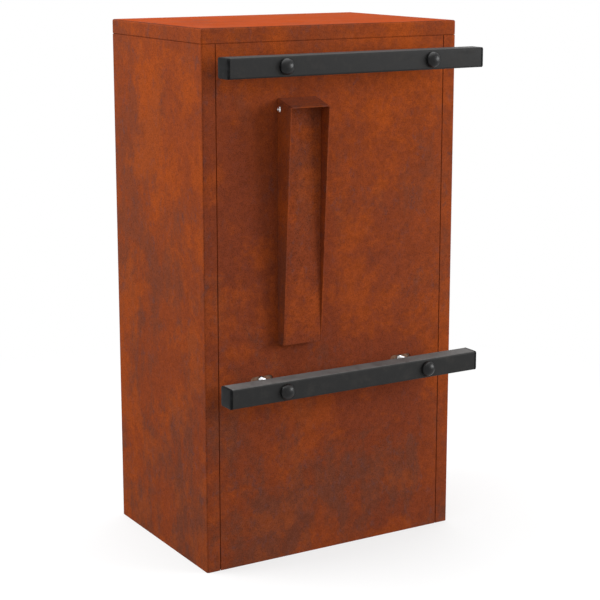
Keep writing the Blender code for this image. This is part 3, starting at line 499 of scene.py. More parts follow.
# %% Soft edges
MM = 0.001
EDGE_ROUND = 0.25 * MM
EDGE_STEPS = 2
ROUND_OVER = radians(50)
SAME_PLANE = radians(0.5)
MERGE = 0.002 * MM
CORNER_MERGE = 0.06 * MM
FOLD_OUTER = 2.1 * MM
FOLD_TOLERANCE = 0.03 * MM
SEAM_ROUND = 0.45 * MM
SEAM_GAP = 0.8 * MM
SEAM_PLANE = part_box("rear_panel")[1].y
PANEL_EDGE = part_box("rear_panel")[1].x
SEAM_EDGES = {"rear_panel": (PANEL_EDGE, 1), "casing": (PANEL_EDGE + SEAM_GAP, -1)}
TURNED_OR_MOULDED = (
    "clamp_bolt", "clamp_nut", "bolt_cap", "tube_plug", "hood_screw", "lock_barrel", "lock_nut", "lock_plug",
    "cam_screw", "hinge_pin", "flap_rod",
)
SHEETS = [node for node in frame["nodes"] if not node.startswith(TURNED_OR_MOULDED)]


def show_built(name, built):
    """A smooth piece from what was built."""
    mesh = bpy.data.meshes.new(name)
    built.to_mesh(mesh)
    built.free()
    mesh.shade_smooth()
    return show(name, mesh)


def keep_plain(piece):
    """Keeps what a piece's modifiers make as its plain mesh."""
    graph = bpy.context.evaluated_depsgraph_get()
    mesh = bpy.data.meshes.new_from_object(
        piece.evaluated_get(graph), preserve_all_data_layers=True, depsgraph=graph
    )
    piece.modifiers.clear()
    piece.data = mesh
    return piece


def settle(piece, node, finish=None):
    """Gives a piece the finish of its slot, or another, and its body, and hides the solid it stands for."""
    slot = SLOT_OF[node]
    piece.data.materials.clear()
    piece.data.materials.append(finish or FINISHES[slot])
    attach(piece, frame["nodes"][node]["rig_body"])
    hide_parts(node)
    return piece


def tighten(built, corner_x, outward):
    """Brings a fold's outer round closer to its sharp corner."""
    corner = Vector((corner_x, SEAM_PLANE, 0.0))
    centre = corner - Vector((outward * FOLD_OUTER, FOLD_OUTER, 0.0))
    for point in built.verts:
        flat = Vector((point.co.x, point.co.y, 0.0))
        on_fold = abs((flat - centre).length - FOLD_OUTER) < FOLD_TOLERANCE
        if on_fold and (flat - corner).length < FOLD_OUTER + FOLD_TOLERANCE:
            point.co.xy = (corner + (flat - corner) * SEAM_ROUND / FOLD_OUTER).xy


def soften(node):
    built = bmesh.new()
    built.from_mesh(frame["nodes"][node].data)
    merge = CORNER_MERGE if node == "casing" else MERGE
    bmesh.ops.remove_doubles(built, verts=built.verts, dist=merge)
    if node in SEAM_EDGES:
        corner_x, outward = SEAM_EDGES[node]
        tighten(built, corner_x, outward)
        tighten(built, -corner_x, -outward)
    bmesh.ops.dissolve_limit(built, angle_limit=SAME_PLANE, verts=built.verts, edges=built.edges)
    piece = show_built(node + "_soft", built)
    rounding = piece.modifiers.new("edges", "BEVEL")
    rounding.width = EDGE_ROUND
    rounding.segments = EDGE_STEPS
    rounding.limit_method = "ANGLE"
    rounding.angle_limit = ROUND_OVER
    rounding.use_clamp_overlap = False
    flat = piece.modifiers.new("flat_faces", "WEIGHTED_NORMAL")
    flat.weight = 100
    return keep_plain(piece)


# The backing plates take a rust-tinted zinc whose dark browns are partly painted shade and reflection.
for node in SHEETS:
    settle(soften(node), node, stained_shaded_zinc if node.startswith("backing_plate") else None)
print("sheets with soft edges:", len(SHEETS))

# %% [markdown]
# ## A lathe and a loft
#
# Caps, bolts, pins and the lock are turned parts: a profile swept round an axis. Spin would do it, but
# leaves a seam and open poles to mend. A loft that joins ring to ring, and ends on a single point, is
# closed from the start. A ring may be any outline with the same number of points, so hexagons, cross
# recesses and the key slot come out of the same few lines.

# %% Lathe and loft
TURN_STEPS = 48
CREASE = radians(35)


def loft(name, rings, closed=False):
    """A closed skin over rings of points in millimetres. A ring of one point is a pole."""
    built = bmesh.new()
    made = [[built.verts.new(Vector(point) * MM) for point in ring] for ring in rings]
    above = made[1:] + made[:1] if closed else made[1:]
    for lower, upper in zip(made, above):
        count = max(len(lower), len(upper))
        for step in range(count):
            after = (step + 1) % count
            corners = (
                lower[step % len(lower)], lower[after % len(lower)],
                upper[after % len(upper)], upper[step % len(upper)],
            )
            built.faces.new(dict.fromkeys(corners))
    bmesh.ops.recalc_face_normals(built, faces=built.faces)
    piece = show_built(name, built)
    piece.data.set_sharp_from_angle(angle=CREASE)
    return piece


def turned(name, profile, steps=TURN_STEPS, closed=False):
    """A solid about Z. An entry is (radius, height), or a function of the angle that gives both."""
    rings = []
    for entry in profile:
        if not callable(entry) and entry[0] == 0:
            rings.append([(0.0, 0.0, entry[1])])
            continue
        ring = []
        for step in range(steps):
            angle = tau * step / steps
            radius, height = entry(angle) if callable(entry) else entry
            ring.append((radius * cos(angle), radius * sin(angle), height))
        rings.append(ring)
    return loft(name, rings, closed)


def put(piece, place, axis):
    """Turns a mesh made about Z to an axis, and moves it to a place in millimetres."""
    ahead = Vector(axis)
    across = Vector((0, 1, 0)) if abs(ahead.x) > 0.5 else Vector((1, 0, 0))
    turning = Matrix((across, ahead.cross(across), ahead)).transposed().to_4x4()
    piece.data.transform(Matrix.Translation(Vector(place) * MM) @ turning)
    return piece


def box_mm(node):
    """The low and the high corner of a node's box, in millimetres."""
    return [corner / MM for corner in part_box(node)]


def middle(node):
    low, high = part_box(node)
    return (low + high) / 2 / MM


def mount(piece, node, level, axis, finish=None):
    """Stands a piece on its node's middle, at a level along an axis, and settles it."""
    place = [level if way else middle(node)[index] for index, way in enumerate(axis)]
    return settle(put(piece, place, axis), node, finish)


def arc(radius, height, rise, steps):
    """A quarter round from the rim up to the pole, without the pole."""
    turns = [pi / 2 * step / steps for step in range(steps)]
    return [(radius * cos(turn), height + rise * sin(turn)) for turn in turns]


print("steps in a full turn:", TURN_STEPS)

# %% [markdown]
# ## Threads cut with Geometry Nodes
#
# A thread follows one rule along its whole length. A spiral tube wrapped round a rod would be two shells
# that overlap. It is better cut into a turned blank, as on a real lathe: the tree pulls the blank's skin
# in or out by a triangle wave that climbs one pitch in each turn, so thread and rod stay one closed skin.
# The same tree cuts bolts, screws, the lock's barrel and, with a depth below zero, the nuts' bores.

# %% Thread tree
THREAD_RINGS = 6
SKIN_TOLERANCE = 0.05


def make_tree(name, sizes, recipe):
    """A tree from a recipe that gives its shape, with one named input for each size."""
    tree = bpy.data.node_groups.new(name, "GeometryNodeTree")
    kinds = {"Geometry": "Geometry", **dict.fromkeys(sizes, "Float"), "Finish": "Material"}
    if "Count" in sizes:
        kinds["Count"] = "Int"
    for label, kind in kinds.items():
        tree.interface.new_socket(label, in_out="INPUT", socket_type="NodeSocket" + kind)
    tree.interface.new_socket("Geometry", in_out="OUTPUT", socket_type="NodeSocketGeometry")
    given = tree.nodes.new("NodeGroupInput").outputs
    # The export needs real copies of any instances, with the surface set on them.
    real = flow(tree, "GeometryNodeRealizeInstances", {"Geometry": recipe(tree, given)})
    done = flow(tree, "GeometryNodeSetMaterial", {"Geometry": real, "Material": given["Finish"]})
    add_node(tree, "NodeGroupOutput", {"Geometry": done})
    print(name, "tree with", len(tree.nodes), "nodes")
    return tree


def grow(piece, tree, sizes, finish):
    """Runs a tree on a piece with its inputs set, and keeps the result as a plain mesh."""
    grown = piece.modifiers.new("grown", "NODES")
    grown.node_group = tree
    inputs = {item.name: item.identifier for item in tree.interface.items_tree if item.in_out == "INPUT"}
    for label, size in sizes.items():
        grown[inputs[label]] = size if label == "Count" else size * MM
    grown[inputs["Finish"]] = finish
    return keep_plain(piece)


def thread_recipe(tree, given):
    along = axes(tree, flow(tree, "GeometryNodeInputPosition", {}))
    flat = combine(tree, along["X"], along["Y"])
    outward = flow(tree, "VectorMath", {0: flat}, operation="NORMALIZE")
    turn = calc(tree, "DIVIDE", calc(tree, "ARCTAN2", along["Y"], along["X"]), tau)
    climb = calc(tree, "DIVIDE", along["Z"], given["Pitch"])
    phase = calc(tree, "FRACT", calc(tree, "SUBTRACT", climb, turn))
    wave = calc(tree, "ABSOLUTE", calc(tree, "MULTIPLY_ADD", phase, 2.0, -1.0))
    after = calc(tree, "SUBTRACT", along["Z"], given["Start"])
    before = calc(tree, "SUBTRACT", given["End"], along["Z"])
    nearest = calc(tree, "DIVIDE", calc(tree, "MINIMUM", after, before), given["Pitch"])
    fade = calc(tree, "MINIMUM", calc(tree, "MAXIMUM", nearest, 0.0), 1.0)
    cut = times(tree, times(tree, wave, given["Depth"]), times(tree, fade, -1.0))
    push = flow(tree, "VectorMath", {0: outward, "Scale": cut}, operation="SCALE")
    off_skin = calc(tree, "ABSOLUTE", calc(tree, "SUBTRACT", length_of(tree, flat), given["Radius"]))
    on_skin = calc(tree, "LESS_THAN", off_skin, SKIN_TOLERANCE * MM)
    cut_skin = {"Geometry": given["Geometry"], "Selection": on_skin, "Offset": push}
    return flow(tree, "GeometryNodeSetPosition", cut_skin)


def thread_rings(radius, pitch, start, end):
    """The rings that a blank needs where its thread will be cut."""
    count = round((end - start) / pitch * THREAD_RINGS)
    return [(radius, start + (end - start) * step / count) for step in range(count + 1)]


def cut_thread(blank, radius, pitch, depth, start, end, finish):
    sizes = {"Radius": radius, "Pitch": pitch, "Depth": depth, "Start": start, "End": end}
    grow(blank, thread_tree, sizes, finish)
    blank.data.set_sharp_from_angle(angle=CREASE)
    return blank


thread_tree = make_tree("thread", ("Radius", "Pitch", "Depth", "Start", "End"), thread_recipe)

# %% [markdown]
# ## Clamp bolts and nuts
#
# Each clamp bolt runs from its head on the tube, through tube, gap and panel, to a nut inside. Its head is
# a hexagon whose corners are turned off by a cone, which leaves curved bright edges. Booleans on a cube
# leave uneven faces. Here the hexagon is an outline whose height falls towards its corners, so that one
# loft gives head, shank and thread.

# %% Clamp bolts and nuts
BOLT_RADIUS = 3.0
BOLT_PITCH = 1.0
BOLT_THREAD = 0.45
BOLT_STEPS = 36
BOLT_PLAIN = 24.0
BOLT_TIP = 0.5
HEAD_HEIGHT = 4.0
NUT_HEIGHT = 5.0
THREAD_ROOM = 0.3
HEX_FLATS = 10.0
HEX_CROWN = tan(radians(28))
# As shares of its flats: a hexagon's flat face, and the radius where its corners begin to lean.
HEX_FACE = 0.47
HEX_LEAN = 0.485
CORNERS = ("upper_left", "upper_right", "lower_left", "lower_right")
TO_REAR = (0, 1, 0)


def hexagon(flats, level, way):
    """A hexagon's outline whose corners lean away from the face at level."""
    def at(angle):
        radius = flats / 2 / cos(angle % (pi / 3) - pi / 6)
        return radius, level - way * (radius - HEX_LEAN * flats) * HEX_CROWN
    return at


def hex_rings(flats, height):
    """A hexagon's faces and sides, from zero up."""
    face = HEX_FACE * flats
    return [(face, 0.0), hexagon(flats, 0.0, -1), hexagon(flats, height, 1), (face, height)]


def hex_nut(name, flats, height, bore, pitch, depth, finish):
    """A nut about Z from zero up, with its thread cut into its bore."""
    lead = 0.4
    profile = [(bore + lead, 0.0)] + hex_rings(flats, height) + [(bore + lead, height)]
    profile += reversed(thread_rings(bore, pitch, lead, height - lead))
    blank = turned(name, profile, BOLT_STEPS, closed=True)
    return cut_thread(blank, bore, pitch, -depth, lead, height - lead, finish)


def make_clamp_bolt(node):
    low, high = box_mm(node)
    seat = high.y - HEAD_HEIGHT
    tip = low.y - seat
    profile = [(0, tip), (BOLT_RADIUS - BOLT_TIP, tip)]
    profile += thread_rings(BOLT_RADIUS, BOLT_PITCH, tip + BOLT_TIP, -BOLT_PLAIN)
    profile += [(BOLT_RADIUS, 0.0)] + hex_rings(HEX_FLATS, HEAD_HEIGHT) + [(0, HEAD_HEIGHT)]
    bolt = turned(node + "_threaded", profile, BOLT_STEPS)
    cut_thread(bolt, BOLT_RADIUS, BOLT_PITCH, BOLT_THREAD, tip + BOLT_TIP, -BOLT_PLAIN, zinc)
    return mount(bolt, node, seat, TO_REAR)


def make_clamp_nut(node):
    bore = BOLT_RADIUS + THREAD_ROOM
    nut = hex_nut(node + "_threaded", HEX_FLATS, NUT_HEIGHT, bore, BOLT_PITCH, BOLT_THREAD, zinc)
    return mount(nut, node, box_mm(node)[0].y, TO_REAR)


def count_triangles(piece):
    return sum(len(face.vertices) - 2 for face in piece.data.polygons)


for corner in CORNERS:
    bolt = make_clamp_bolt("clamp_bolt_" + corner)
    nut = make_clamp_nut("clamp_nut_" + corner)
print("triangles in one bolt:", count_triangles(bolt), "and in its nut:", count_triangles(nut))

# %% [markdown]
# ## Domed bolt caps
#
# A push-on cap covers each bolt head. It is a thin moulded dome with a hollow for the head. A scaled sphere
# would be solid and would meet the tube in a knife edge. A turned profile gives the real wall, the short
# upright rim and the soft moulded edge under it.

# %% Bolt caps
CAP_RADIUS = 8.57
CAP_RIM_HEIGHT = 1.0
CAP_RIM_SINK = 0.3
CAP_POCKET = 6.07
CAP_POCKET_DEPTH = 4.3
CAP_ARC_STEPS = 14
CAP_STEPS = 64


def make_bolt_cap(node):
    low, high = box_mm(node)
    height = high.y - low.y
    dome_start = CAP_RIM_HEIGHT - CAP_RIM_SINK
    profile = [(0, height)] + arc(CAP_RADIUS, dome_start, height - dome_start, CAP_ARC_STEPS)[::-1] + [
        (CAP_RADIUS, 0.25), (CAP_RADIUS - 0.08, 0.08), (CAP_RADIUS - 0.25, 0.0), (CAP_POCKET + 0.3, 0.0),
        (CAP_POCKET, 0.3), (CAP_POCKET, CAP_POCKET_DEPTH - 0.3), (CAP_POCKET - 0.4, CAP_POCKET_DEPTH),
        (0, CAP_POCKET_DEPTH),
    ]
    mount(turned(node + "_moulded", profile, CAP_STEPS), node, low.y, TO_REAR, cap_plastic)
    return height


for corner in CORNERS:
    cap_height = make_bolt_cap("bolt_cap_" + corner)
print("a cap is", round(cap_height, 1), "mm high and", 2 * CAP_RADIUS, "mm wide")

# %% [markdown]
# ## Tube plugs
#
# A square plastic plug closes each end of a tube: a flange with a soft moulded edge, and a stub with thin
# ribs that grip the tube. The flange is a loft of rounded squares. The ribs could be part of it. They are
# one small plate repeated by Geometry Nodes instead, so that their number and spacing stay inputs.

# %% Tube plugs
PLUG_HALF = 11.0
PLUG_CORNER = 1.9
PLUG_ROUND = 1.1
PLUG_RIM = 0.25
FLANGE_THICKNESS = 2.5
STUB_HALF = 8.3
STUB_CORNER = 0.8
STUB_TAPER = 0.6
RIB_HALF = 9.2
RIB_SIZES = {
    "Width": 2 * RIB_HALF, "Corner": 0.8, "Thickness": 0.7, "Spacing": 2.6, "First": -10.4, "Count": 4,
}
CORNER_STEPS = 5
ROUND_STEPS = 5


def round_corners(low, high, corner, steps):
    """The outline of a rectangle between two points, with round corners."""
    outline = []
    for quarter in range(4):
        x = high[0] - corner if quarter in (0, 3) else low[0] + corner
        y = high[1] - corner if quarter < 2 else low[1] + corner
        for step in range(steps + 1):
            angle = pi / 2 * (quarter + step / steps)
            outline.append((x + corner * cos(angle), y + corner * sin(angle)))
    return outline


def rounded_square(half, corner, level):
    return [(x, y, level) for x, y in round_corners((-half, -half), (half, half), corner, CORNER_STEPS)]


def rib_recipe(tree, given):
    square = {0: given["Width"], 1: given["Width"]}
    outline = flow(tree, "GeometryNodeCurvePrimitiveQuadrilateral", square)
    turn = {"Curve": outline, "Radius": given["Corner"], "Count": 4}
    rounded = flow(tree, "GeometryNodeFilletCurve", turn, mode="POLY")
    reach = {"End": combine(tree, z=given["Thickness"])}
    line = flow(tree, "GeometryNodeCurvePrimitiveLine", reach)
    swept = {"Curve": line, "Profile Curve": rounded, "Fill Caps": True}
    rib = flow(tree, "GeometryNodeCurveToMesh", swept)
    first = combine(tree, z=given["First"])
    apart = combine(tree, z=given["Spacing"])
    stand = {"Count": given["Count"], "Start Location": first, "Offset": apart}
    places = flow(tree, "GeometryNodeMeshLine", stand, mode="OFFSET")
    ribs = flow(tree, "GeometryNodeInstanceOnPoints", {"Points": places, "Instance": rib})
    both = add_node(tree, "GeometryNodeJoinGeometry").inputs[0]
    tree.links.new(given["Geometry"], both)
    tree.links.new(ribs, both)
    return both.node.outputs[0]


def plug_rings(depth):
    """A plug about Z, with its flange from zero up and its stub below."""
    squares = [
        (STUB_HALF - STUB_TAPER, STUB_CORNER, -depth), (STUB_HALF, STUB_CORNER, STUB_TAPER - depth),
        (STUB_HALF, STUB_CORNER, 0.0), (PLUG_HALF - PLUG_RIM, PLUG_CORNER, 0.0),
        (PLUG_HALF, PLUG_CORNER, PLUG_RIM),
    ]
    for step in range(ROUND_STEPS + 1):
        turn = pi / 2 * step / ROUND_STEPS
        inset = PLUG_ROUND * (1 - cos(turn))
        level = FLANGE_THICKNESS - 0.1 - PLUG_ROUND + PLUG_ROUND * sin(turn)
        squares.append((PLUG_HALF - inset, PLUG_CORNER - 0.3 * inset, level))
    squares.append((5.0, 1.5, FLANGE_THICKNESS - 0.02))
    outlines = [rounded_square(*square) for square in squares]
    return [[(0, 0, -depth)]] + outlines + [[(0, 0, FLANGE_THICKNESS)]]


rib_tree = make_tree("ribs", RIB_SIZES, rib_recipe)
for side, sign in (("left", 1), ("right", -1)):
    for level in ("upper", "lower"):
        node = f"tube_plug_{level}_{side}"
        inner, outer = sorted(abs(end.x) for end in box_mm(node))
        seat = outer - FLANGE_THICKNESS
        plug = loft(node + "_moulded", plug_rings(seat - inner))
        grow(plug, rib_tree, RIB_SIZES, black_plastic)
        mount(plug, node, sign * seat, (sign, 0, 0))
print("triangles in one plug:", count_triangles(plug))

# %% [markdown]
# ## Screws with a cross recess
#
# Two pan-head screws hold the hood, and one holds the lock's cam. The eye looks for the cross recess in a
# small head. It could be cut with a boolean. Here it is one more outline in the loft: a cross, read off as
# a radius for each angle, sunk and narrowed to a point.

# %% Cross-recess screws
SCREW_STEPS = 64
DOME_DEGREES = (0, 12, 24, 36, 48, 58)
HOOD_HEAD = 2.2


def cross(arm, half_width, level):
    """A cross's outline, for a head's recess."""
    def at(angle):
        from_arm = (angle + pi / 4) % (pi / 2) - pi / 4
        side = half_width / max(abs(sin(from_arm)), 1e-6)
        return min(arm / cos(from_arm), side), level
    return at


def pan_head(radius, height, rim):
    """A domed head, from its underside to the bottom of its cross recess."""
    arm = 0.46 * radius
    half_width = 0.13 * radius
    turns = [radians(degrees) for degrees in DOME_DEGREES]
    dome = [(radius * cos(turn), rim + (height - rim) * sin(turn)) for turn in turns]
    lip = height - 0.12 * (height - rim)
    return [(radius - 0.25, 0.0), (radius, 0.2)] + dome + [
        cross(arm, half_width, lip), cross(0.9 * arm, 0.8 * half_width, lip - 0.25),
        cross(0.45 * arm, 0.5 * half_width, 0.45 * height), (0, 0.3 * height),
    ]


def cross_screw(name, shank, reach, head, height, pitch, depth, finish):
    """A screw about Z, with its head's underside at zero and its shank below."""
    tip = -reach
    profile = [(0, tip), (0.62 * shank, tip + 0.2)]
    profile += thread_rings(shank, pitch, tip + 0.5, -0.6)
    profile += [(shank, 0.0)] + pan_head(head, height, 0.3 * height)
    blank = turned(name, profile, SCREW_STEPS)
    return cut_thread(blank, shank, pitch, depth, tip + 0.5, -0.6, finish)


for side, sign in (("left", 1), ("right", -1)):
    node = "hood_screw_" + side
    hood = middle("hood_shell").x
    tip, top = sorted(abs(end.x - hood) for end in box_mm(node))
    reach = top - tip - HOOD_HEAD
    screw = cross_screw(node + "_threaded", 1.8, reach, 3.2, HOOD_HEAD, 1.3, 0.5, zinc)
    mount(screw, node, hood + sign * (top - HOOD_HEAD), (sign, 0, 0))
print("a hood screw reaches", round(reach, 1), "mm under its head")

# %% [markdown]
# ## The lock
#
# A cam lock: the barrel is pushed through the door from outside and held by a large nut behind it, and the
# key turns the plug and the cam in it. A boolean could cut the key slot. Here it is the plug's innermost
# outline, sunk into its face, and the plug stays one clean skin.

# %% Lock
BARREL_RADIUS = 8.0
BARREL_BORE = 5.3
BARREL_PITCH = 1.5
BARREL_THREAD = 0.55
FLANGE_RADIUS = 10.0
FLANGE_HEIGHT = 2.5
LOCK_NUT_FLATS = 22.0
LOCK_NUT_HEIGHT = 4.0
KEYWAY_STEPS = 96
KEYWAY_DEPTH = 3.8
CAM_HEAD = 2.4
DOOR_FACE = box_mm("door")[0].y
TO_FRONT = (0, -1, 0)


def slot_outline(half_width, half_length, level):
    def at(angle):
        across = half_width / max(abs(cos(angle)), 1e-6)
        along = half_length / max(abs(sin(angle)), 1e-6)
        return min(across, along), level
    return at


def make_barrel():
    back = DOOR_FACE - box_mm("lock_barrel")[1].y
    profile = [
        (BARREL_BORE, FLANGE_HEIGHT - 0.3), (BARREL_BORE + 0.3, FLANGE_HEIGHT), (9.0, FLANGE_HEIGHT),
        (9.45, 2.40), (9.80, 2.12), (FLANGE_RADIUS, 1.7), (FLANGE_RADIUS, 0.45), (9.85, 0.3),
        (BARREL_RADIUS, 0.3),
    ]
    profile += reversed(thread_rings(BARREL_RADIUS, BARREL_PITCH, back + 0.6, -1.5))
    profile += [(BARREL_RADIUS - 0.6, back), (BARREL_BORE + 0.3, back), (BARREL_BORE, back + 0.3)]
    barrel = turned("lock_barrel_turned", profile, closed=True)
    cut_thread(barrel, BARREL_RADIUS, BARREL_PITCH, BARREL_THREAD, back + 0.6, -1.5, lock_metal)
    mount(barrel, "lock_barrel", DOOR_FACE, TO_FRONT)


def make_lock_plug():
    low, high = box_mm("lock_plug")
    face = DOOR_FACE - low.y
    end = DOOR_FACE - high.y
    dish = face - 0.18
    profile = [
        (0, end + 6.3), (2.3, end + 6.3), (2.3, end + 0.2), (2.5, end), (4.7, end), (5.0, end + 0.3),
        (5.0, face - 0.25), (4.85, face), (4.35, face), (4.15, dish), (3.75, dish),
        slot_outline(0.85, 3.30, dish), slot_outline(0.70, 3.20, face - 0.4),
        slot_outline(0.70, 3.20, face - KEYWAY_DEPTH), (0, face - KEYWAY_DEPTH - 0.2),
    ]
    mount(turned("lock_plug_turned", profile, KEYWAY_STEPS), "lock_plug", DOOR_FACE, TO_FRONT)
    return face - end


def make_cam_screw():
    low, high = box_mm("cam_screw")
    reach = high.y - low.y - CAM_HEAD
    screw = cross_screw("cam_screw_threaded", 2.0, reach, 3.6, CAM_HEAD, 0.7, 0.35, zinc)
    mount(screw, "cam_screw", high.y - CAM_HEAD, TO_REAR)


make_barrel()
nut_sizes = (LOCK_NUT_FLATS, LOCK_NUT_HEIGHT, BARREL_RADIUS + THREAD_ROOM, BARREL_PITCH, BARREL_THREAD)
mount(hex_nut("lock_nut_threaded", *nut_sizes, zinc), "lock_nut", box_mm("lock_nut")[1].y, TO_FRONT)
plug_length = make_lock_plug()
make_cam_screw()
print("the lock's plug is", round(plug_length, 1), "mm long")

# %% [markdown]
# ## Hinge pins and flap rod
#
# The door's pins have a low button head, and a rounded end that finds its hole. The flap curls round a
# plain rod. Cylinders would do from afar, but short profiles on the same lathe give the real ends.

# %% Hinge pins and flap rod
PIN_RADIUS = 2.0
PIN_HEAD = 1.5
ROD_STEPS = 32


def pin_profile(length):
    return [
        (0, -length), (1.2, -length), (1.75, 0.25 - length), (PIN_RADIUS, 0.8 - length), (PIN_RADIUS, 0.0),
        (2.8, 0.0), (3.0, 0.2), (3.0, 0.7), (2.8, 1.05), (2.3, 1.33), (1.4, 1.47), (0, PIN_HEAD),
    ]


def rod_profile(half):
    tip = [(0, -half), (1.5, -half), (1.85, 0.15 - half), (PIN_RADIUS, 0.5 - half)]
    return tip + [(radius, -level) for radius, level in reversed(tip)]


for node, way in (("hinge_pin_upper", 1), ("hinge_pin_lower", -1)):
    low, high = box_mm(node)
    seat = (high.z if way > 0 else low.z) - way * PIN_HEAD
    pin = turned(node + "_turned", pin_profile(high.z - low.z - PIN_HEAD))
    mount(pin, node, seat, (0, 0, way))
rod = turned("flap_rod_turned", rod_profile(box_mm("flap_rod")[1].x), ROD_STEPS)
mount(rod, "flap_rod", 0.0, (1, 0, 0))
print("triangles in a pin:", count_triangles(pin), "and in the rod:", count_triangles(rod))

# %% [markdown]
# ## Welds
#
# The slot collar is welded round its inside, the roof collar and the floor pan are stitched to the walls,
# and the small brackets are spot welded. Beads also close the two rear seams, from inside, and the seam
# under the roof cap, so that no light comes through. A plain tube would read as wire. A bead is a row of
# overlapping ripples: a curve swept with a radius that rises and falls. Each spot weld is the same shallow
# dimple, set on a list of points.

# %% Welds
BEAD_SIZES = {"Radius": 1.0, "Ripple": 1.6}
LID_BEAD_SIZES = {"Radius": 0.5, "Ripple": 4.0}
LID_BEAD_INSET = 1.0
LID_BEAD_DROP = 0.4
SPOT_SIZES = {"Radius": 2.4, "Height": 0.35}
LOOP_CORNER_STEPS = 3
COLLAR_MARGIN = 0.3
WALL_INSET = 1.7
STITCH_HALF = 9.0
STITCH_X = (-120, -40, 40, 120)
STITCH_Y = (-75, 0, 75)
SEAM_BEAD_Z = (18.0, 570.0)


def bead_recipe(tree, given):
    path = flow(tree, "GeometryNodeMeshToCurve", {"Mesh": given["Geometry"]})
    step = calc(tree, "DIVIDE", given["Ripple"], 4.0)
    fine = flow(tree, "GeometryNodeResampleCurve", {"Curve": path, "Length": step}, mode="LENGTH")
    reached = add_node(tree, "GeometryNodeSplineParameter").outputs["Length"]
    phase = calc(tree, "FRACT", calc(tree, "DIVIDE", reached, given["Ripple"]))
    swell = calc(tree, "SINE", times(tree, phase, pi))
    size = times(tree, given["Radius"], calc(tree, "MULTIPLY_ADD", swell, 0.22, 0.78))
    outline = flow(tree, "GeometryNodeCurvePrimitiveCircle", {"Resolution": 8})
    swept = {"Curve": fine, "Profile Curve": outline, "Scale": size, "Fill Caps": True}
    return flow(tree, "GeometryNodeCurveToMesh", swept)


def spot_recipe(tree, given):
    dimple = flow(tree, "GeometryNodeMeshUVSphere", {"Segments": 16, "Rings": 6})
    size = combine(tree, given["Radius"], given["Height"], given["Radius"])
    spots = {"Points": given["Geometry"], "Instance": dimple, "Scale": size}
    return flow(tree, "GeometryNodeInstanceOnPoints", spots)


def skeleton(name, paths):
    """Points in millimetres joined along paths. A path that comes back to its start is closed."""
    points = []
    edges = []
    for path in paths:
        closed = len(path) > 1 and path[0] == path[-1]
        first = len(points)
        points += path[:-1] if closed else path
        count = len(points) - first
        steps = range(count if closed else count - 1)
        edges += [(first + step, first + (step + 1) % count) for step in steps]
    mesh = bpy.data.meshes.new(name)
    mesh.from_pydata([Vector(point) * MM for point in points], edges, [])
    return show(name, mesh)


def loop(low, high, corner):
    outline = round_corners(low, high, corner, LOOP_CORNER_STEPS)
    return outline + outline[:1]


def collar_loop():
    """Round the slot collar, on the inside of the front."""
    low, high = box_mm("slot_collar")
    inside = box_mm("casing")[0].y + WALL_INSET
    margin = Vector((COLLAR_MARGIN, COLLAR_MARGIN))
    return [(x, inside, z) for x, z in loop(low.xz - margin, high.xz + margin, 2.0)]


def lid_loop():
    """Round the seam under the roof cap, a little behind the faces of the walls."""
    low, high = box_mm("roof_cap")
    inset = Vector((LID_BEAD_INSET, LID_BEAD_INSET))
    return [(x, y, low.z - LID_BEAD_DROP) for x, y in loop(low.xy + inset, high.xy - inset, 1.0)]


def stitches(level):
    """Short straight runs along the inside of the walls, at a height."""
    low, high = box_mm("casing")
    side = high.x - WALL_INSET
    front = low.y + WALL_INSET
    halves = (-STITCH_HALF, STITCH_HALF)
    runs = [[(sign * side, y + half, level) for half in halves] for sign in (-1, 1) for y in STITCH_Y]
    return runs + [[(x + half, front, level) for half in halves] for x in STITCH_X]


def seam_runs():
    """Upright runs behind the two rear seams."""
    seam = (PANEL_EDGE + SEAM_GAP / 2) / MM
    lip = box_mm("rear_panel")[0].y
    return [[(sign * seam, lip, z) for z in SEAM_BEAD_Z] for sign in (-1, 1)]


def spot_points():
    """Places on the letter guard and on the leaves of the hinge brackets."""
    guard_low, guard_high = box_mm("letter_guard")
    points = [(x, guard_low.y + 1.5, guard_high.z - 9.0) for x in (-100, -50, 0, 50, 100)]
    leaf = box_mm("hinge_bracket_upper")[0].y + 2.0
    hinge = middle("hinge_bracket_upper").x
    for node, rise in (("hinge_bracket_upper", 9.5), ("hinge_bracket_lower", 4.5)):
        points += [(hinge + shift, leaf, box_mm(node)[0].z + rise) for shift in (-4.2, 4.2)]
    return points


bead_tree = make_tree("weld_bead", BEAD_SIZES, bead_recipe)
spot_tree = make_tree("spot_welds", SPOT_SIZES, spot_recipe)
stitched = stitches(box_mm("floor_pan")[1].z) + stitches(box_mm("roof_collar")[0].z)
for name, paths, tree, sizes in (
    ("weld_beads", [collar_loop()] + stitched + seam_runs(), bead_tree, BEAD_SIZES),
    ("lid_seam_bead", [lid_loop()], bead_tree, LID_BEAD_SIZES),
    ("spot_welds", [[point] for point in spot_points()], spot_tree, SPOT_SIZES),
):
    weld = grow(skeleton(name, paths), tree, sizes, weathering_steel)
    weld.data.materials.clear()
    weld.data.materials.append(weathering_steel)
    weld.data.shade_smooth()
    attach(weld, "cabinet")
    print(name, "has", count_triangles(weld), "triangles")

# %% [markdown]
# ## The floor and the light
#
# A catalogue picture is taken on white, under wide soft lamps. A white world alone would do, but the
# mailbox would float in it and be lit from below. So a pale disc glows a little, for the camera only: it
# reads as white, keeps the mailbox's shadow, and fades into the white room. Rays that light the mailbox
# see a plain grey floor and room.

# %% Floor and room
FLOOR_RADIUS = 6.0
FLOOR_STEPS = 96
FLOOR_GREY = (0.24, 0.24, 0.24)
FLOOR_GLOW = 0.64
FADE_START = 0.35
FADE_END = 0.9
ROOM_LIGHT = 0.84
WHITE = (1.0, 1.0, 1.0)


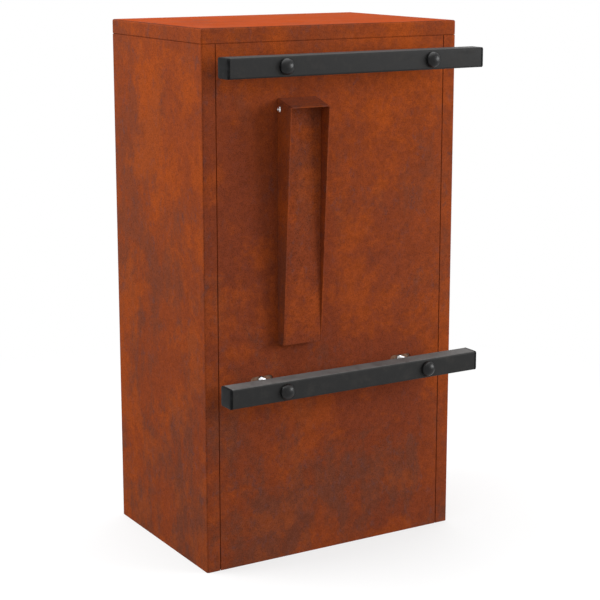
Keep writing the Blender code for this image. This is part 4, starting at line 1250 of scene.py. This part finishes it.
def seen_rays(tree):
    """1 for rays from the camera, a reflection or glass, and 0 for light on a surface."""
    path = add_node(tree, "LightPath")
    seen = calc(tree, "MAXIMUM", path.outputs["Is Camera Ray"], path.outputs["Is Glossy Ray"])
    return calc(tree, "MAXIMUM", seen, path.outputs["Is Transmission Ray"])


def empty_tree(made):
    made.use_nodes = True
    made.node_tree.nodes.clear()
    return made.node_tree


def make_floor():
    built = bmesh.new()
    bmesh.ops.create_circle(built, cap_ends=True, segments=FLOOR_STEPS, radius=FLOOR_RADIUS)
    floor = show_built("floor", built)
    made = bpy.data.materials.new("studio_floor")
    tree = empty_tree(made)
    matte = flow(tree, "BsdfDiffuse", {"Color": (*FLOOR_GREY, 1)})
    glow = flow(tree, "Emission", {"Strength": FLOOR_GLOW})
    lit = flow(tree, "AddShader", {0: matte, 1: glow})
    white = flow(tree, "Emission", {})
    away = length_of(tree, add_node(tree, "TexCoord").outputs["Object"])
    far = spread(tree, away, FADE_START, FADE_END)
    faded = flow(tree, "MixShader", {0: far, 1: lit, 2: white})
    shown = flow(tree, "MixShader", {0: seen_rays(tree), 1: matte, 2: faded})
    add_node(tree, "OutputMaterial", {"Surface": shown})
    floor.data.materials.append(made)
    floor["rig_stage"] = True


def make_room():
    world = bpy.data.worlds.new("studio")
    tree = empty_tree(world)
    strength = spread(tree, seen_rays(tree), 0.0, 1.0, ROOM_LIGHT, 1.0)
    light = flow(tree, "Background", {"Color": (*WHITE, 1), "Strength": strength})
    add_node(tree, "OutputWorld", {"Surface": light})
    scene.world = world


make_floor()
make_room()
print("the floor is white from", FADE_END, "m on")

# %% [markdown]
# ## Three soft lamps
#
# The hood's shadow on the panel tells where the main lamp stands: low on the right. A second one lights the
# side from behind on the left, and a wide one above makes the lid the brightest face. A sun would throw
# hard shadows, and wide rectangles keep them soft. Level is how bright a lamp makes a white card held
# square to it, so that they can be compared.

# %% Lamps
LAMP_TARGET = Vector((0.0, 0.05, 0.32))
# Each lamp's name, the way to it, its distance and its two sides in metres, and its level.
LAMPS = (
    ("lamp_right", (-1.26, 1.0, 0.36), 2.2, (1.2, 0.8), 0.76),
    ("lamp_left", (1.0, -0.5, 0.85), 1.9, (1.0, 1.0), 0.65),
    ("lamp_above", (0.0, -0.1, 1.0), 2.2, (3.0, 3.0), 1.25),
)

for name, toward, distance, sides, level in LAMPS:
    light = bpy.data.lights.new(name, "AREA")
    light.shape = "RECTANGLE"
    light.size, light.size_y = sides
    light.energy = level * (pi * distance) ** 2
    lamp = show(name, light)
    direction = Vector(toward).normalized()
    lamp.location = LAMP_TARGET + direction * distance
    lamp.rotation_mode = "QUATERNION"
    lamp.rotation_quaternion = direction.to_track_quat("Z", "Y")
    lamp.visible_camera = False
    print(name, "gives", round(light.energy), "W from", distance, "m")

# %% Finish
low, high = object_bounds()
print("visual size, mm:", [round(1000 * side, 1) for side in high - low])
